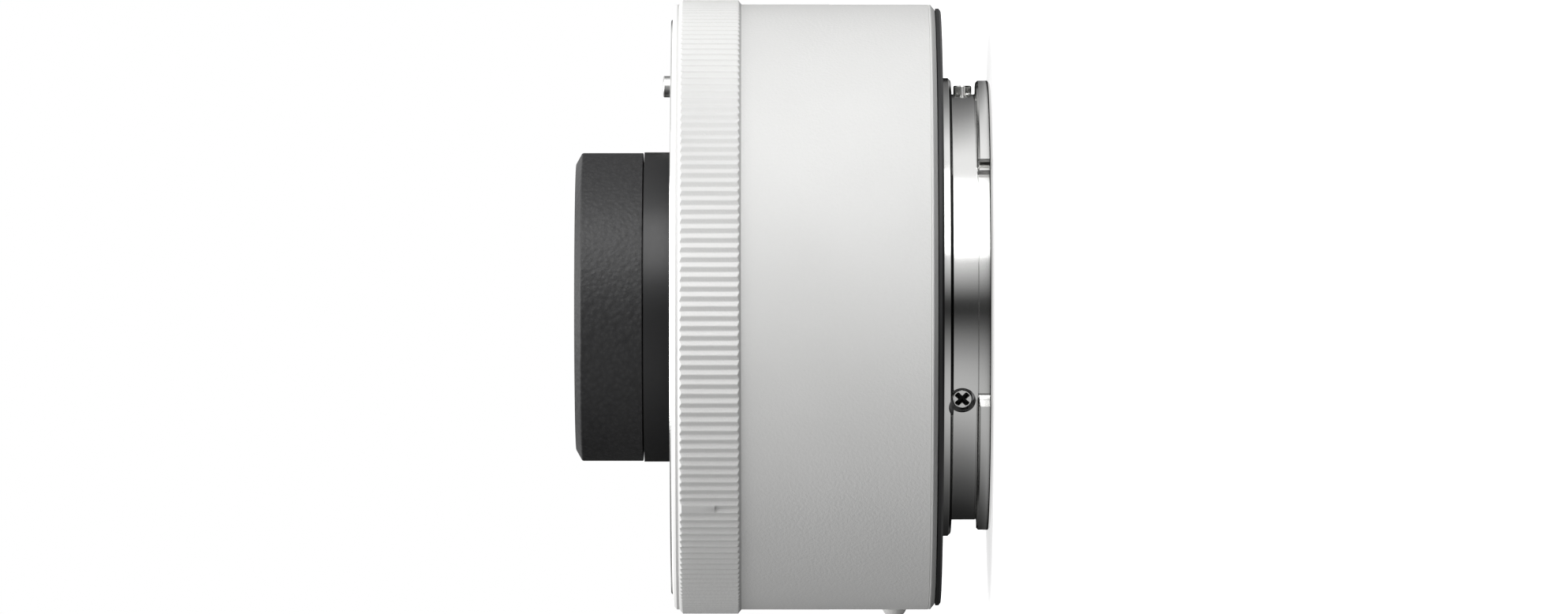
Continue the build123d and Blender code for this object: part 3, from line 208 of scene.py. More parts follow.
def grained_black():
    """Black paint with a raised leather-like grain."""
    paint = Finish("grained_black")
    place = paint.place()
    grain = paint.smooth_cells(place, scale=2300.0)
    fine = paint.noise(place, scale=5200.0, detail=2.0)
    height = grain + 0.35 * fine
    return paint.surface(
        Base_Color=paint.ramp(height, (0.2, (0.026, 0.026, 0.027)), (0.9, (0.012, 0.012, 0.013))),
        Roughness=0.44 + 0.14 * fine,
        Normal=paint.bump(1 - height, distance=0.05 * MM, strength=0.9),
    )


def satin_black():
    """Smooth satin black of the collar and the knob."""
    paint = Finish("satin_black")
    fine = paint.noise(paint.place(), scale=1800.0, detail=2.0)
    return paint.surface(
        Base_Color=(0.014, 0.014, 0.015, 1.0),
        Roughness=0.34 + 0.08 * fine,
        Normal=paint.bump(fine, distance=0.004 * MM, strength=0.4),
    )


def matt_black(name, colour, roughness, grain_scale, depth):
    """Matt black of moulded plastic, inner metal and rubber."""
    paint = Finish(name)
    fine = paint.noise(paint.place(), grain_scale, detail=3.0)
    return paint.surface(
        Base_Color=(*colour, 1.0),
        Roughness=roughness + 0.1 * fine,
        Normal=paint.bump(fine, depth, strength=0.5),
    )


def turned_metal(name, colour, roughness, groove_scale, depth):
    """Bright metal with fine lathe lines that run round the optical axis, and painted shade in marked
    recesses.
    """
    metal = Finish(name)
    place = metal.place()
    axis = metal.parts(place)
    radius = (axis["X"] ** 2.0 + axis["Y"] ** 2.0) ** 0.5
    station = metal.node("ShaderNodeCombineXYZ", None, {"X": radius, "Y": axis["Z"], "Z": 0.0})["Vector"]
    lines = metal.noise(station, groove_scale, detail=2.0, roughness=0.7)
    patches = metal.noise(place, scale=180.0, detail=2.0)
    return metal.surface(
        # Painted shade: the base colour turns grey in marked recesses, for the shadow and the dark oxide in
        # them
        Base_Color=metal.ramp(metal.recess(), (0.0, colour), (1.0, (0.28, 0.28, 0.28))),
        Metallic=1.0,
        Roughness=roughness + 0.04 * patches + 0.02 * lines,
        Normal=metal.bump(lines, depth, strength=0.6),
    )


def plain_metal(name, colour, roughness):
    """Screws, pins and springs: metal with light handling marks."""
    metal = Finish(name)
    marks = metal.noise(metal.place(), scale=900.0, detail=3.0)
    return metal.surface(
        Base_Color=(*colour, 1.0),
        Metallic=1.0,
        Roughness=roughness + 0.12 * marks,
        Normal=metal.bump(marks, distance=0.003 * MM, strength=0.5),
    )


def recessed_steel():
    """Steel of the screw heads, with painted shade inside the cross recess, which the piece marks with an
    attribute.
    """
    metal = Finish("recessed_steel")
    marks = metal.noise(metal.place(), scale=900.0, detail=3.0)
    recess = metal.recess()
    return metal.surface(
        # Painted shade: nearly black where the cross recess is marked, for the shadow down in it
        Base_Color=metal.ramp(recess, (0.25, (0.80, 0.80, 0.79)), (0.75, (0.03, 0.03, 0.03))),
        Metallic=1.0,
        Roughness=0.10 + 0.06 * marks + 0.4 * recess,
        Normal=metal.bump(marks, distance=0.002 * MM, strength=0.5),
    )


def coated_glass(name, tint):
    """Optical glass whose coating leaves a weak reflection of a given tint, so the index is a low one."""
    glass = Finish(name)
    return glass.surface(
        Base_Color=(1.0, 1.0, 1.0, 1.0),
        Roughness=0.0,
        IOR=1.25,
        Transmission_Weight=1.0,
        Specular_Tint=(*tint, 1.0),
    )


def coloured(name, colour, roughness, scale):
    """Enamel, film, board and chip: one colour, a little uneven."""
    paint = Finish(name)
    uneven = paint.noise(paint.place(), scale, detail=3.0)
    darker = tuple(channel * 0.86 for channel in colour)
    return paint.surface(
        Base_Color=paint.ramp(uneven, (0.3, darker), (0.7, colour)),
        Roughness=roughness + 0.1 * uneven,
    )


finishes = {
    "white_paint": white_paint(),
    "black_texture": grained_black(),
    "black_satin": satin_black(),
    "black_matte": matt_black(
        "matt_black", colour=(0.012, 0.012, 0.012), roughness=0.62, grain_scale=5000.0, depth=0.002 * MM
    ),
    "black_plastic": matt_black(
        "moulded_black", colour=(0.016, 0.016, 0.017), roughness=0.5, grain_scale=2200.0, depth=0.012 * MM
    ),
    "rubber_black": matt_black(
        "seal_rubber", colour=(0.013, 0.013, 0.014), roughness=0.48, grain_scale=2600.0, depth=0.01 * MM
    ),
    "bayonet_metal": turned_metal(
        "bayonet_metal", colour=(0.80, 0.80, 0.79), roughness=0.10, groove_scale=9000.0, depth=0.0004 * MM
    ),
    "steel": plain_metal("screw_steel", colour=(0.74, 0.74, 0.73), roughness=0.24),
    "gold_contact": plain_metal("gold_contact", colour=(0.95, 0.72, 0.34), roughness=0.2),
    "glass": coated_glass("coated_glass", tint=(0.8, 1.0, 0.85)),
    "white_mark": coloured("white_enamel", colour=(0.86, 0.86, 0.84), roughness=0.25, scale=400.0),
    "board_green": coloured("board_green", colour=(0.02, 0.11, 0.05), roughness=0.35, scale=300.0),
    "chip_black": coloured("chip_black", colour=(0.02, 0.02, 0.02), roughness=0.5, scale=900.0),
    "flex_amber": coloured("flex_amber", colour=(0.42, 0.19, 0.03), roughness=0.3, scale=300.0),
}

for row in frame["record"]["subparts"]:
    for slot in frame["nodes"][row["node"]].material_slots:
        slot.material = finishes[row["material_slot"]]

# Twice the area in square metres under which a face counts as empty
smallest_face = 1e-14


def diagonals_crossed(points, quads):
    """Normal of each quad, as long as twice its area: the cross product of its diagonals."""
    return np.cross(points[quads[:, 2]] - points[quads[:, 0]], points[quads[:, 3]] - points[quads[:, 1]])


class Skin:
    """Points and faces of one piece, gathered from grids. Every grid's border is a crease."""

    def __init__(self):
        self.points = []
        self.faces = []
        self.marks = []
        self.total = 0

    def grid(self, points, closed_rows=False, closed_columns=False, keep=None, mark=0.0):
        """Adds quads between neighbours of an array of points (rows, columns, 3), and drops empty ones.

        The faces look to the side from which rows, then columns, turn anticlockwise. Of an array of yes or
        no by quad, only the quads with yes are made. The mark, from 0 to 1, says how deep in a recess the
        points lie, for painted shade in the metals.
        """
        points = np.asarray(points, float)
        rows, columns = points.shape[:2]
        numbers = np.arange(rows * columns).reshape(rows, columns)
        if closed_rows:
            numbers = np.concatenate([numbers, numbers[:1]])
        if closed_columns:
            numbers = np.concatenate([numbers, numbers[:, :1]], axis=1)
        quads = np.stack(
            [numbers[:-1, :-1], numbers[1:, :-1], numbers[1:, 1:], numbers[:-1, 1:]], axis=-1
        )
        quads = quads.reshape(-1, 4) if keep is None else quads[keep]
        flat = points.reshape(-1, 3)
        quads = quads[np.linalg.norm(diagonals_crossed(flat, quads), axis=1) > smallest_face]
        self.points.append(flat)
        self.marks.append(np.broadcast_to(mark, (rows, columns)).ravel())
        self.faces.append(quads + self.total)
        self.total += len(flat)
        return self

    def cap(self, ring, mark=0.0):
        """Closes a flat ring of points, an even number of them, with strips across it.

        The faces look to the side from which the ring runs anticlockwise.
        """
        half = len(ring) // 2
        return self.grid(np.stack([ring[:half], ring[: half - 1 : -1]], axis=1), mark=mark)

    def object(self, name):
        """Makes the mesh object, with normals that follow the larger faces so that flats stay flat."""
        points = np.concatenate(self.points)
        quads = np.concatenate(self.faces)
        used = np.zeros(len(points), bool)
        used[quads.ravel()] = True
        numbers = np.cumsum(used) - 1
        points, quads = points[used], numbers[quads]
        mesh = bpy.data.meshes.new(name)
        mesh.vertices.add(len(points))
        mesh.vertices.foreach_set("co", points.ravel())
        mesh.loops.add(quads.size)
        mesh.loops.foreach_set("vertex_index", quads.ravel())
        mesh.polygons.add(len(quads))
        mesh.polygons.foreach_set("loop_start", np.arange(0, quads.size, 4))
        mesh.polygons.foreach_set("use_smooth", np.ones(len(quads), bool))
        mesh.update(calc_edges=True)
        across = diagonals_crossed(points, quads)
        normals = np.zeros_like(points)
        for corner in range(4):
            np.add.at(normals, quads[:, corner], across)
        lengths = np.linalg.norm(normals, axis=1)
        normals /= np.maximum(lengths, sys.float_info.min)[:, None]
        mesh.normals_split_custom_set_from_vertices(normals)
        marks = np.concatenate(self.marks)[used]
        if marks.any():
            mesh.attributes.new(recess_shade_mark, "FLOAT", "POINT").data.foreach_set("value", marks)
        return linked(name, mesh)

    def piece(self, name, slot, stands_for, body="housing"):
        """Makes the object, gives it a record slot's finish, and says its body and the node it stands for."""
        holder = self.object(name)
        holder.data.materials.append(finishes[slot])
        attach(holder, body)
        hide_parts(stands_for)
        return holder


def linked(name, data):
    """A new object in the scene that holds a mesh, a lamp or a camera."""
    holder = bpy.data.objects.new(name, data)
    bpy.context.scene.collection.objects.link(holder)
    return holder


# Steps along each rounded corner, and the rounding of a sharp one
corner_steps = 4
crease = 0.0


def outline(*corners, steps=corner_steps):
    """Points (radius, height) in metres along a closed outline.

    The corners are (radius, height, rounding) in mm. Each rounded corner is an arc tangent to both sides. A
    corner with no rounding is given twice, as a crease.
    """
    places = np.array([corner[:2] for corner in corners], float)
    points = []
    for number, place in enumerate(places):
        rounding = corners[number][2]
        before = place - places[number - 1]
        after = places[(number + 1) % len(places)] - place
        before = before / np.linalg.norm(before)
        after = after / np.linalg.norm(after)
        turn = math.atan2(before[0] * after[1] - before[1] * after[0], before @ after)
        if rounding == crease:
            points += [place, place]
            continue
        reach = rounding * math.tan(abs(turn) / 2)
        side = np.array([-before[1], before[0]]) * math.copysign(rounding, turn)
        centre = place - before * reach + side
        for part in range(steps + 1):
            angle = turn * part / steps
            along = -side[0] * math.cos(angle) + side[1] * math.sin(angle)
            up = -side[0] * math.sin(angle) - side[1] * math.cos(angle)
            points.append(centre + np.array([along, up]))
    return np.array(points) * MM


def swept(radii, heights, angles):
    """Grid of points from radii and heights at polar angles, each given by (angle, station) or by station."""
    shape = (len(angles), np.shape(heights)[-1])
    radii = np.broadcast_to(radii, shape)
    heights = np.broadcast_to(heights, shape)
    return np.stack([radii * np.cos(angles)[:, None], radii * np.sin(angles)[:, None], heights], axis=-1)


def all_round(count):
    return np.arange(count) * 2 * math.pi / count


# Columns round a turned ring, round its hidden walls and round a pin or a hole
ring_columns = 480
wall_columns = 240
small_columns = 96
hole_columns = 64


def turned(*corners):
    """A ring turned about the optical axis from an outline that runs anticlockwise in (radius, height)."""
    points = outline(*corners)
    ring = swept(points[:, 0], points[:, 1], all_round(ring_columns))
    return Skin().grid(ring, closed_rows=True, closed_columns=True)


def flat_object(name, points):
    """One flat face, in an object at the origin, for the studio's floor."""
    mesh = bpy.data.meshes.new(name)
    mesh.from_pydata(points, [], [tuple(range(len(points)))])
    mesh.update()
    return linked(name, mesh)


def step(value, start, end):
    """Rises smoothly from 0 to 1 between two values."""
    share = np.clip((value - start) / (end - start), 0.0, 1.0)
    return share * share * (3 - 2 * share)


def within(angle, centre):
    """Angle from a centre, brought between -180 and 180 degrees."""
    return (angle - centre + 180.0) % 360.0 - 180.0


def on_side(place, out, across, height):
    """Points from distances outwards, across and along the axis, seen from a polar angle in degrees."""
    turn = math.radians(place)
    return np.stack(
        [
            out * math.cos(turn) - across * math.sin(turn),
            out * math.sin(turn) + across * math.cos(turn),
            height + 0 * out,
        ],
        axis=-1,
    )


# Sizes below are in mm and polar angles in degrees about +Z from +X, as in the solids. A name that ends in
# edge is the rounding of an edge.

# The male bayonet: bore, neck, register ring and tabs
bore_radius = 20.3
bore_edge = 0.1
neck_radius = 21.64
neck_blend = 0.2
blend_margin = 0.05
neck_wall_height = 0.5
neck_line_depth = 0.06
neck_line_rear = 0.05
neck_line_front = 0.06
neck_line_edge = 0.02
register_radius = 23.3
register_rear = -1.32
register_chamfer = 0.3
register_edge = 0.05
tab_radius = 23.04
tab_front = -3.84
tab_rear = -5.29
tab_rear_chamfer = 0.28
tab_front_chamfer = 0.2
tab_edge = 0.06
tab_zones = ((-50.0, 10.0), (72.0, 129.0), (191.1, 244.4))
tab_blend = 0.5
lug_zone = (-52.1, -51.2)
lug_blend = 0.3
lug_share = 0.47
ramp_start = tab_zones[2][1]
ramp_end = 246.7
ramp_power = 2.2
ramp_reach = 5.0

# Columns of the bayonet's grid: by plain angle, at the tabs' ends, on the ramp and beside a screw pocket
bayonet_columns = 720
tab_end_reach = 0.4
tab_end_columns = 17
ramp_columns = 25
pocket_half_angle = 4.5
pocket_columns = 61
pocket_near_angle = 5.0
pocket_rows = 49
pocket_side_columns = 13
pocket_floor_shares = (0.0, 0.4, 0.7, 1.0)
neck_column_angle = 0.5

# Screws through the neck
screw_places = (126.0, -115.6)
screw_height = -2.2
screw_head_radius = 1.03
screw_head_height = 0.6
screw_pocket_radius = 1.36
screw_pocket_floor = 20.77
stop_screw_place = 0.0
stop_screw_height = -2.53
stop_screw_radius = 0.93
stop_screw_seat = 21.6
stop_screw_head_height = 0.95

# The flange with its countersunk holes and the hole for the camera's lock pin
flange_radius = 28.6
flange_front = 2.0
flange_edge = 0.1
flange_wall_height = 1.0
flange_column_angle = 0.75
mount_screw_places = (75.0, 165.0, 255.0, 345.0)
mount_screw_circle = 26.1
countersink_radius = 1.5
countersink_depth = 0.7
countersink_foot = 0.8
lock_place = 30.5
lock_circle = 26.3
lock_hole_radius = 1.25
lock_hole_depth = 1.6
hole_half_angle = 5.0
hole_ring_shares = (0.0, 0.08, 1.0)


def plateau(angles, zone, blend):
    """1 between the two polar angles of a zone and 0 outside them, with a smooth rise at each end."""
    middle = (zone[0] + zone[1]) / 2
    half = (zone[1] - zone[0]) / 2
    return 1 - step(np.abs(within(angles, middle)), half - blend / 2, half + blend / 2)


def tab_share(angles):
    """How far the tabs stand out at polar angles: 0 on the neck, 1 on a tab, lug and ramp between.

    The ramp falls in a hollow curve: the share of the way that is left, to a power.
    """
    share = lug_share * plateau(angles, lug_zone, lug_blend)
    for zone in tab_zones:
        share = np.maximum(share, plateau(angles, zone, tab_blend))
    from_start = within(angles, ramp_start)
    along = np.clip(from_start / (ramp_end - ramp_start), 0.0, 1.0)
    ramp = np.where(np.abs(from_start) < ramp_reach, (1 - along) ** ramp_power, 0.0)
    return np.maximum(share, ramp)


def bayonet_angles():
    """Polar angles in degrees, close together at the ends of the tabs and beside the screw pockets."""
    ends = [edge for zone in (*tab_zones, lug_zone) for edge in zone]
    fine = [np.linspace(edge - tab_end_reach, edge + tab_end_reach, tab_end_columns) for edge in ends]
    fine.append(np.linspace(ramp_start, ramp_end, ramp_columns))
    for place in screw_places:
        fine.append(np.linspace(place - pocket_half_angle, place + pocket_half_angle, pocket_columns))
    even = np.arange(bayonet_columns) * (360.0 / bayonet_columns)
    angles = np.concatenate([even, *fine]) % 360.0
    return np.unique(np.round(angles, 4))


def pocket_side(across):
    """Half height of the round screw pocket at a distance across from its middle."""
    return np.sqrt(np.maximum(screw_pocket_radius**2 - across**2, 0.0))


def bayonet_rear(skin, angles, neck_rear):
    """The tabs, the lug, the ramp and the bore.

    The surface blends between an outline with a tab and one without, by tab_share of the polar angle.
    """
    turns = np.radians(angles)
    wall_top = tab_front + neck_wall_height
    with_tab = outline(
        (bore_radius, tab_rear, bore_edge),
        (tab_radius - tab_rear_chamfer, tab_rear, tab_edge),
        (tab_radius, tab_rear + tab_rear_chamfer, tab_edge),
        (tab_radius, tab_front - tab_front_chamfer, tab_edge),
        (tab_radius - tab_front_chamfer, tab_front, tab_edge),
        (neck_radius, tab_front, neck_blend),
        (neck_radius, neck_rear, crease),
        (bore_radius, wall_top, crease),
    )
    without_tab = outline(
        (bore_radius, tab_rear, bore_edge),
        (neck_radius - tab_rear_chamfer, tab_rear, tab_edge),
        (neck_radius, tab_rear + tab_rear_chamfer, tab_edge),
        (neck_radius, tab_front - neck_line_rear, neck_line_edge),
        (neck_radius - neck_line_depth, tab_front, neck_line_edge),
        (neck_radius, tab_front + neck_line_front, neck_line_edge),
        (neck_radius, neck_rear, crease),
        (bore_radius, wall_top, crease),
    )
    # The outlines are used up to the first point of the crease at the rear of the neck
    last = len(with_tab) - 3
    share = tab_share(angles)[:, None]
    profile = without_tab[:last] + (with_tab[:last] - without_tab[:last]) * share[..., None]
    skin.grid(swept(profile[..., 0], profile[..., 1], turns), closed_rows=True)
    bore = np.array([flange_front - flange_edge, tab_rear + bore_edge]) * MM
    skin.grid(swept(np.full(2, bore_radius * MM), bore, turns), closed_rows=True)


def neck_wall(skin, neck_rear):
    """The neck from the tabs to the register ring: plain stretches, and patches beside the screw pockets.

    A patch runs from the pocket's rim, whose angle follows the circle of the pocket, to the plain stretch.
    """
    ends = np.array([neck_rear, register_rear]) * MM
    heights = np.linspace(neck_rear, register_rear, pocket_rows)
    inner = np.arcsin(np.minimum(pocket_side(heights - screw_height) / neck_radius, 1.0))
    outer = math.radians(pocket_half_angle)
    ways = np.linspace(0.0, 1.0, pocket_side_columns)[:, None]
    for place in screw_places:
        gap = min((other - place) % 360.0 for other in screw_places if other != place)
        start, end = place + pocket_half_angle, place + gap - pocket_half_angle
        count = int((end - start) / neck_column_angle) + 1
        plain = np.radians(np.linspace(start, end, count))
        skin.grid(swept(np.full(2, neck_radius * MM), ends, plain))
        for side in (-1.0, 1.0):
            turn = math.radians(place) + side * (inner + (outer - inner) * ways)
            tall = np.broadcast_to(heights, turn.shape)
            points = np.stack([neck_radius * np.cos(turn), neck_radius * np.sin(turn), tall], axis=-1)
            skin.grid(points * MM if side > 0 else points[::-1] * MM)


def register_ring(skin, angles):
    """The register ring with its chamfer, bitten by the screw pockets that reach it."""
    register = outline(
        (neck_radius, register_rear, crease),
        (register_radius - register_chamfer, register_rear, register_edge),
        (register_radius, register_rear + register_chamfer, register_edge),
        (register_radius, 0.0, crease),
        (neck_radius, 0.0, crease),
    )[1:-3]
    heights = np.broadcast_to(register[:, 1], (len(angles), len(register))).copy()
    radii = np.broadcast_to(register[:, 0], heights.shape)
    for place in screw_places:
        off = within(angles, place)
        across = radii * np.sin(np.radians(off))[:, None] / MM
        near = (np.abs(off) < pocket_near_angle)[:, None] & (np.abs(across) < screw_pocket_radius)
        bite = (screw_height + pocket_side(across)) * MM
        heights = np.where(near & (heights < bite), bite, heights)
    skin.grid(swept(radii, heights, np.radians(angles)), closed_rows=True)


def screw_pocket(skin, place):
    """A round pocket with a flat floor, whose wall ends on the neck or on the register ring."""
    around = all_round(small_columns)[:, None]
    across = screw_pocket_radius * np.cos(around)
    height = screw_height + screw_pocket_radius * np.sin(around)
    chamfer = register_radius - register_chamfer + np.clip(height - register_rear, 0.0, register_chamfer)
    rim = np.where(height > register_rear, chamfer, neck_radius)
    top = np.sqrt(rim**2 - across**2)
    out = screw_pocket_floor + (top - screw_pocket_floor) * np.array([[0.0, 1.0]])
    # The whole pocket is marked as recess, so the bayonet metal is painted in shade there
    skin.grid(on_side(place, out, across, height)[::-1] * MM, closed_rows=True, mark=1.0)
    ring = np.array([pocket_floor_shares])
    out = np.full((small_columns, len(pocket_floor_shares)), screw_pocket_floor)
    floor = on_side(place, out, across * ring, screw_height + (height - screw_height) * ring)
    skin.grid(floor[::-1] * MM, closed_rows=True, mark=1.0)


def holed_sector(skin, place, circle, hole, depth, foot):
    """A sector of the flange's rear face with a round hole, and the hole's wall down to a depth and a radius.

    The face runs from the hole's circle to the sector's border, along rays from the middle of the hole.
    """
    inner, outer = register_radius, flange_radius - flange_edge
    reach = circle * math.radians(hole_half_angle)
    corners = [
        math.atan2(side * reach, edge - circle) % (2 * math.pi) for side in (-1, 1) for edge in (inner, outer)
    ]
    around = np.unique(np.concatenate([all_round(hole_columns), corners]))
    spoke, cross = np.cos(around), np.sin(around)
    limit = np.where(spoke > 0, outer - circle, circle - inner)
    straight_on = 1e-9
    far = np.minimum(
        limit / np.maximum(np.abs(spoke), straight_on), reach / np.maximum(np.abs(cross), straight_on)
    )
    radius = circle + far * spoke
    turn = math.radians(place) + far * cross / circle
    edge = np.stack([radius * np.cos(turn), radius * np.sin(turn), np.zeros_like(turn)], axis=-1)
    rim = on_side(place, circle + hole * spoke, hole * cross, np.zeros_like(spoke))
    ways = np.array(hole_ring_shares)[None, :, None]
    sheet = rim[:, None, :] + (edge - rim)[:, None, :] * ways
    skin.grid(sheet * MM, closed_rows=True)
    low = on_side(place, circle + foot * spoke, foot * cross, np.full_like(spoke, depth))
    skin.grid(np.stack([low, rim], axis=1) * MM, closed_rows=True)


def flange(skin):
    """The flat flange behind the seat, with four countersunk holes and the hole for the camera's lock pin."""
    holes = [
        (place, mount_screw_circle, countersink_radius, countersink_depth, countersink_foot)
        for place in mount_screw_places
    ]
    holes.append((lock_place, lock_circle, lock_hole_radius, lock_hole_depth, lock_hole_radius))
    holes.sort()
    radii = np.array([register_radius, flange_radius - flange_edge]) * MM
    for number, (place, *hole) in enumerate(holes):
        holed_sector(skin, place, *hole)
        following = holes[(number + 1) % len(holes)][0]
        span = (following - place) % 360.0 - 2 * hole_half_angle
        ways = np.linspace(0.0, span, int(span / flange_column_angle) + 2)
        turns = np.radians(place + hole_half_angle + ways)
        skin.grid(swept(radii, np.zeros(2), turns))
    side = outline(
        (register_radius, 0.0, crease),
        (flange_radius, 0.0, flange_edge),
        (flange_radius, flange_front, flange_edge),
        (bore_radius, flange_front, flange_edge),
        (bore_radius, flange_wall_height, crease),
    )[2:-2]
    skin.grid(swept(side[:, 0], side[:, 1], all_round(ring_columns)), closed_rows=True)


def male_bayonet():
    """The rear mount ring: three tabs, neck with screw pockets, register ring and a flange with holes."""
    skin = Skin()
    angles = bayonet_angles()
    neck_rear = tab_front + neck_blend + blend_margin
    bayonet_rear(skin, angles, neck_rear)
    neck_wall(skin, neck_rear)
    register_ring(skin, angles)
    for place in screw_places:
        screw_pocket(skin, place)
    flange(skin)
    skin.piece("male_bayonet", "bayonet_metal", stands_for="rear_mount_ring")


# A screw head's cross recess and crown, in shares of its radius, and heights in mm. The last rings share
# one radius, for a crease and for the foot of the head's side.
cross_arm_shares = (0.15, 0.25)
cross_end_shares = (0.66, 0.82)
cross_depth = 0.5
cross_floor_slope = 0.35
cross_turn = 45.0
head_fall = 0.03
head_roll = 0.12
head_roll_start_share = 0.9
head_spokes = 120
head_centre_share = 0.02
head_rings = 26
head_edge_shares = (0.93, 0.96, 0.98, 0.995, 1.0, 1.0, 1.0)


def cross_share(u, v, radius):
    """How deep a cross recess is at a place on a screw head, from 0 outside its arms to 1 inside them."""
    narrow, wide = (share * radius for share in cross_arm_shares)
    near, far = (share * radius for share in cross_end_shares)
    arm = 1 - step(np.minimum(np.abs(u), np.abs(v)), narrow, wide)
    return arm * (1 - step(np.maximum(np.abs(u), np.abs(v)), near, far))


def cross_head(skin, place, foot_height, seat, radius, height):
    """A screw head with a cross recess, as a height over a disc.

    The face falls a little by the square of the radius and rolls off at the edge. The recess has sloping
    walls and is deepest in the middle.
    """
    turn = math.radians(place)
    out = np.array([math.cos(turn), math.sin(turn), 0.0])
    across = np.array([-math.sin(turn), math.cos(turn), 0.0])
    along = np.array([0.0, 0.0, 1.0])
    origin = out * seat + along * foot_height
    spokes = all_round(head_spokes)[:, None]
    inner_rings = np.linspace(head_centre_share, head_roll_start_share, head_rings)
    rings = np.concatenate([inner_rings, head_edge_shares])[None, :]
    x = radius * rings * np.cos(spokes)
    y = radius * rings * np.sin(spokes)
    level = height - head_fall * rings**2
    level = level - head_roll * step(rings, head_roll_start_share, 1.0) ** 2
    level[:, -1] = 0.0
    tilt = math.radians(cross_turn)
    u = x * math.cos(tilt) + y * math.sin(tilt)
    v = y * math.cos(tilt) - x * math.sin(tilt)
    share = cross_share(u, v, radius)
    floor = 1 - cross_floor_slope * np.maximum(np.abs(u), np.abs(v)) / radius
    level = level - cross_depth * share * floor
    points = origin + x[..., None] * across + y[..., None] * along + level[..., None] * out
    # The cross is marked by its depth share and the middle cap in full, for painted shade in the steel
    skin.grid(points[::-1] * MM, closed_rows=True, mark=share[::-1])
    skin.cap(points[:, 0] * MM, mark=1.0)


def neck_screw_heads():
    """The three screws through the neck: two sunk in pockets, and one that stands out as the stop."""
    skin = Skin()
    for place in screw_places:
        cross_head(skin, place, screw_height, screw_pocket_floor, screw_head_radius, screw_head_height)
    cross_head(
        skin, stop_screw_place, stop_screw_height, stop_screw_seat, stop_screw_radius, stop_screw_head_height
    )
    heads = skin.piece("neck_screw_heads", "steel", stands_for="neck_screws")
    heads.data.materials[0] = recessed_steel()


# The ribbed ring
rib_count = 200
rib_depth = 0.25
rib_crest = 31.2
rib_crest_place = -89.87
rib_columns = 10
ring_bore_radius = 30.25
ring_face_radius = 30.67
ring_chamfer_radius = 30.79
ring_rear = 19.96
ring_rear_chamfer_front = 20.29
ring_front_chamfer_rear = 25.90
ring_front = 26.25
ring_face_edge = 0.03
ring_crest_edge = 0.05
ring_corner_steps = 3
filled_groove = 22
filled_height = 22.53
filled_step = 0.05

# Rows of the ribbed ring: on a chamfer and on the long face, by the stretch's length in mm
chamfer_rows = 7
long_rows = 3
chamfer_length = 0.3
long_length = 1.0


def rows_between(before, after):
    """Points after one station and up to the next: several on a chamfer, a few on the long face."""
    length = np.linalg.norm(after - before) / MM
    count = 1
    if length >= long_length:
        count = long_rows
    elif length > chamfer_length:
        count = chamfer_rows
    return [before + (after - before) * way / count for way in range(1, count + 1)]


def ribbed_ring():
    """The ring of fine ribs: the lesser of a plain chamfered outline and a ribbed cylinder, by polar angle.

    Each rib has two flat sides, which meet in a sharp crest and in a sharp groove. One groove is filled from
    a height to the front.
    """
    skin = Skin()
    plain = outline(
        (ring_face_radius, ring_rear, crease),
        (ring_chamfer_radius, ring_rear, ring_face_edge),
        (rib_crest, ring_rear_chamfer_front, ring_crest_edge),
        (rib_crest, ring_front_chamfer_rear, ring_crest_edge),
        (ring_chamfer_radius, ring_front, ring_face_edge),
        (ring_face_radius, ring_front, crease),
        steps=ring_corner_steps,
    )
    dense = [plain[0]]
    for before, after in zip(plain[:-1], plain[1:]):
        dense += rows_between(before, after)
    dense = np.array(dense)
    split = np.array([filled_height, filled_height + filled_step]) * MM
    lower = dense[dense[:, 1] <= split[1]]
    upper = dense[dense[:, 1] > split[1]]
    middle = np.stack([np.full(2, lower[-1][0]), split], axis=1)
    rows = np.concatenate([lower, middle, upper])
    rows = rows[np.argsort(rows[:, 1], kind="stable")]
    pitch = 360.0 / rib_count
    angles = rib_crest_place + np.arange(rib_count * rib_columns) * pitch / rib_columns
    wave = (angles - rib_crest_place) / pitch
    groove = 1 - np.abs(1 - 2 * (wave % 1.0))
    depth = np.broadcast_to(groove[:, None] * rib_depth, (len(angles), len(rows))).copy()
    groove_place = rib_crest_place - (filled_groove + 0.5) * pitch
    in_groove = np.abs(within(angles, groove_place)) < pitch / 2
    in_front = rows[:, 1] > split.mean()
    depth[in_groove[:, None] & in_front[None, :]] = 0.0
    radii = np.minimum(rows[:, 0][None, :], (rib_crest - depth) * MM)
    skin.grid(swept(radii, rows[:, 1], np.radians(angles)), closed_rows=True)
    for ends in (
        ((ring_bore_radius, ring_front), (ring_bore_radius, ring_rear)),
        ((ring_face_radius, ring_front), (ring_bore_radius, ring_front)),
        ((ring_bore_radius, ring_rear), (ring_face_radius, ring_rear)),
    ):
        wall = np.array(ends) * MM
        skin.grid(swept(wall[:, 0], wall[:, 1], all_round(wall_columns)), closed_rows=True)
    skin.piece("ribbed_ring", "white_paint", stands_for="grip_ring")


# The painted barrel, with the slot under the release lever's knob
barrel_radius = 30.78
barrel_bore_radius = 29.78
barrel_rear_radius = 30.25
barrel_rear = 0.345
barrel_bevel_radius = 30.76
barrel_bevel_front = 0.76
barrel_line = 0.95
barrel_line_half = 0.06
barrel_line_depth = 0.06
barrel_spigot_radius = 30.20
barrel_bore_edge = 0.03
barrel_rear_edge = 0.04
barrel_bevel_edge = 0.05
barrel_front_edge = 0.04
barrel_spigot_edge = 0.02
barrel_corner_steps = 3
barrel_columns = 475
slot_middle = 17.84
slot_length = 3.2
slot_width = 2.5


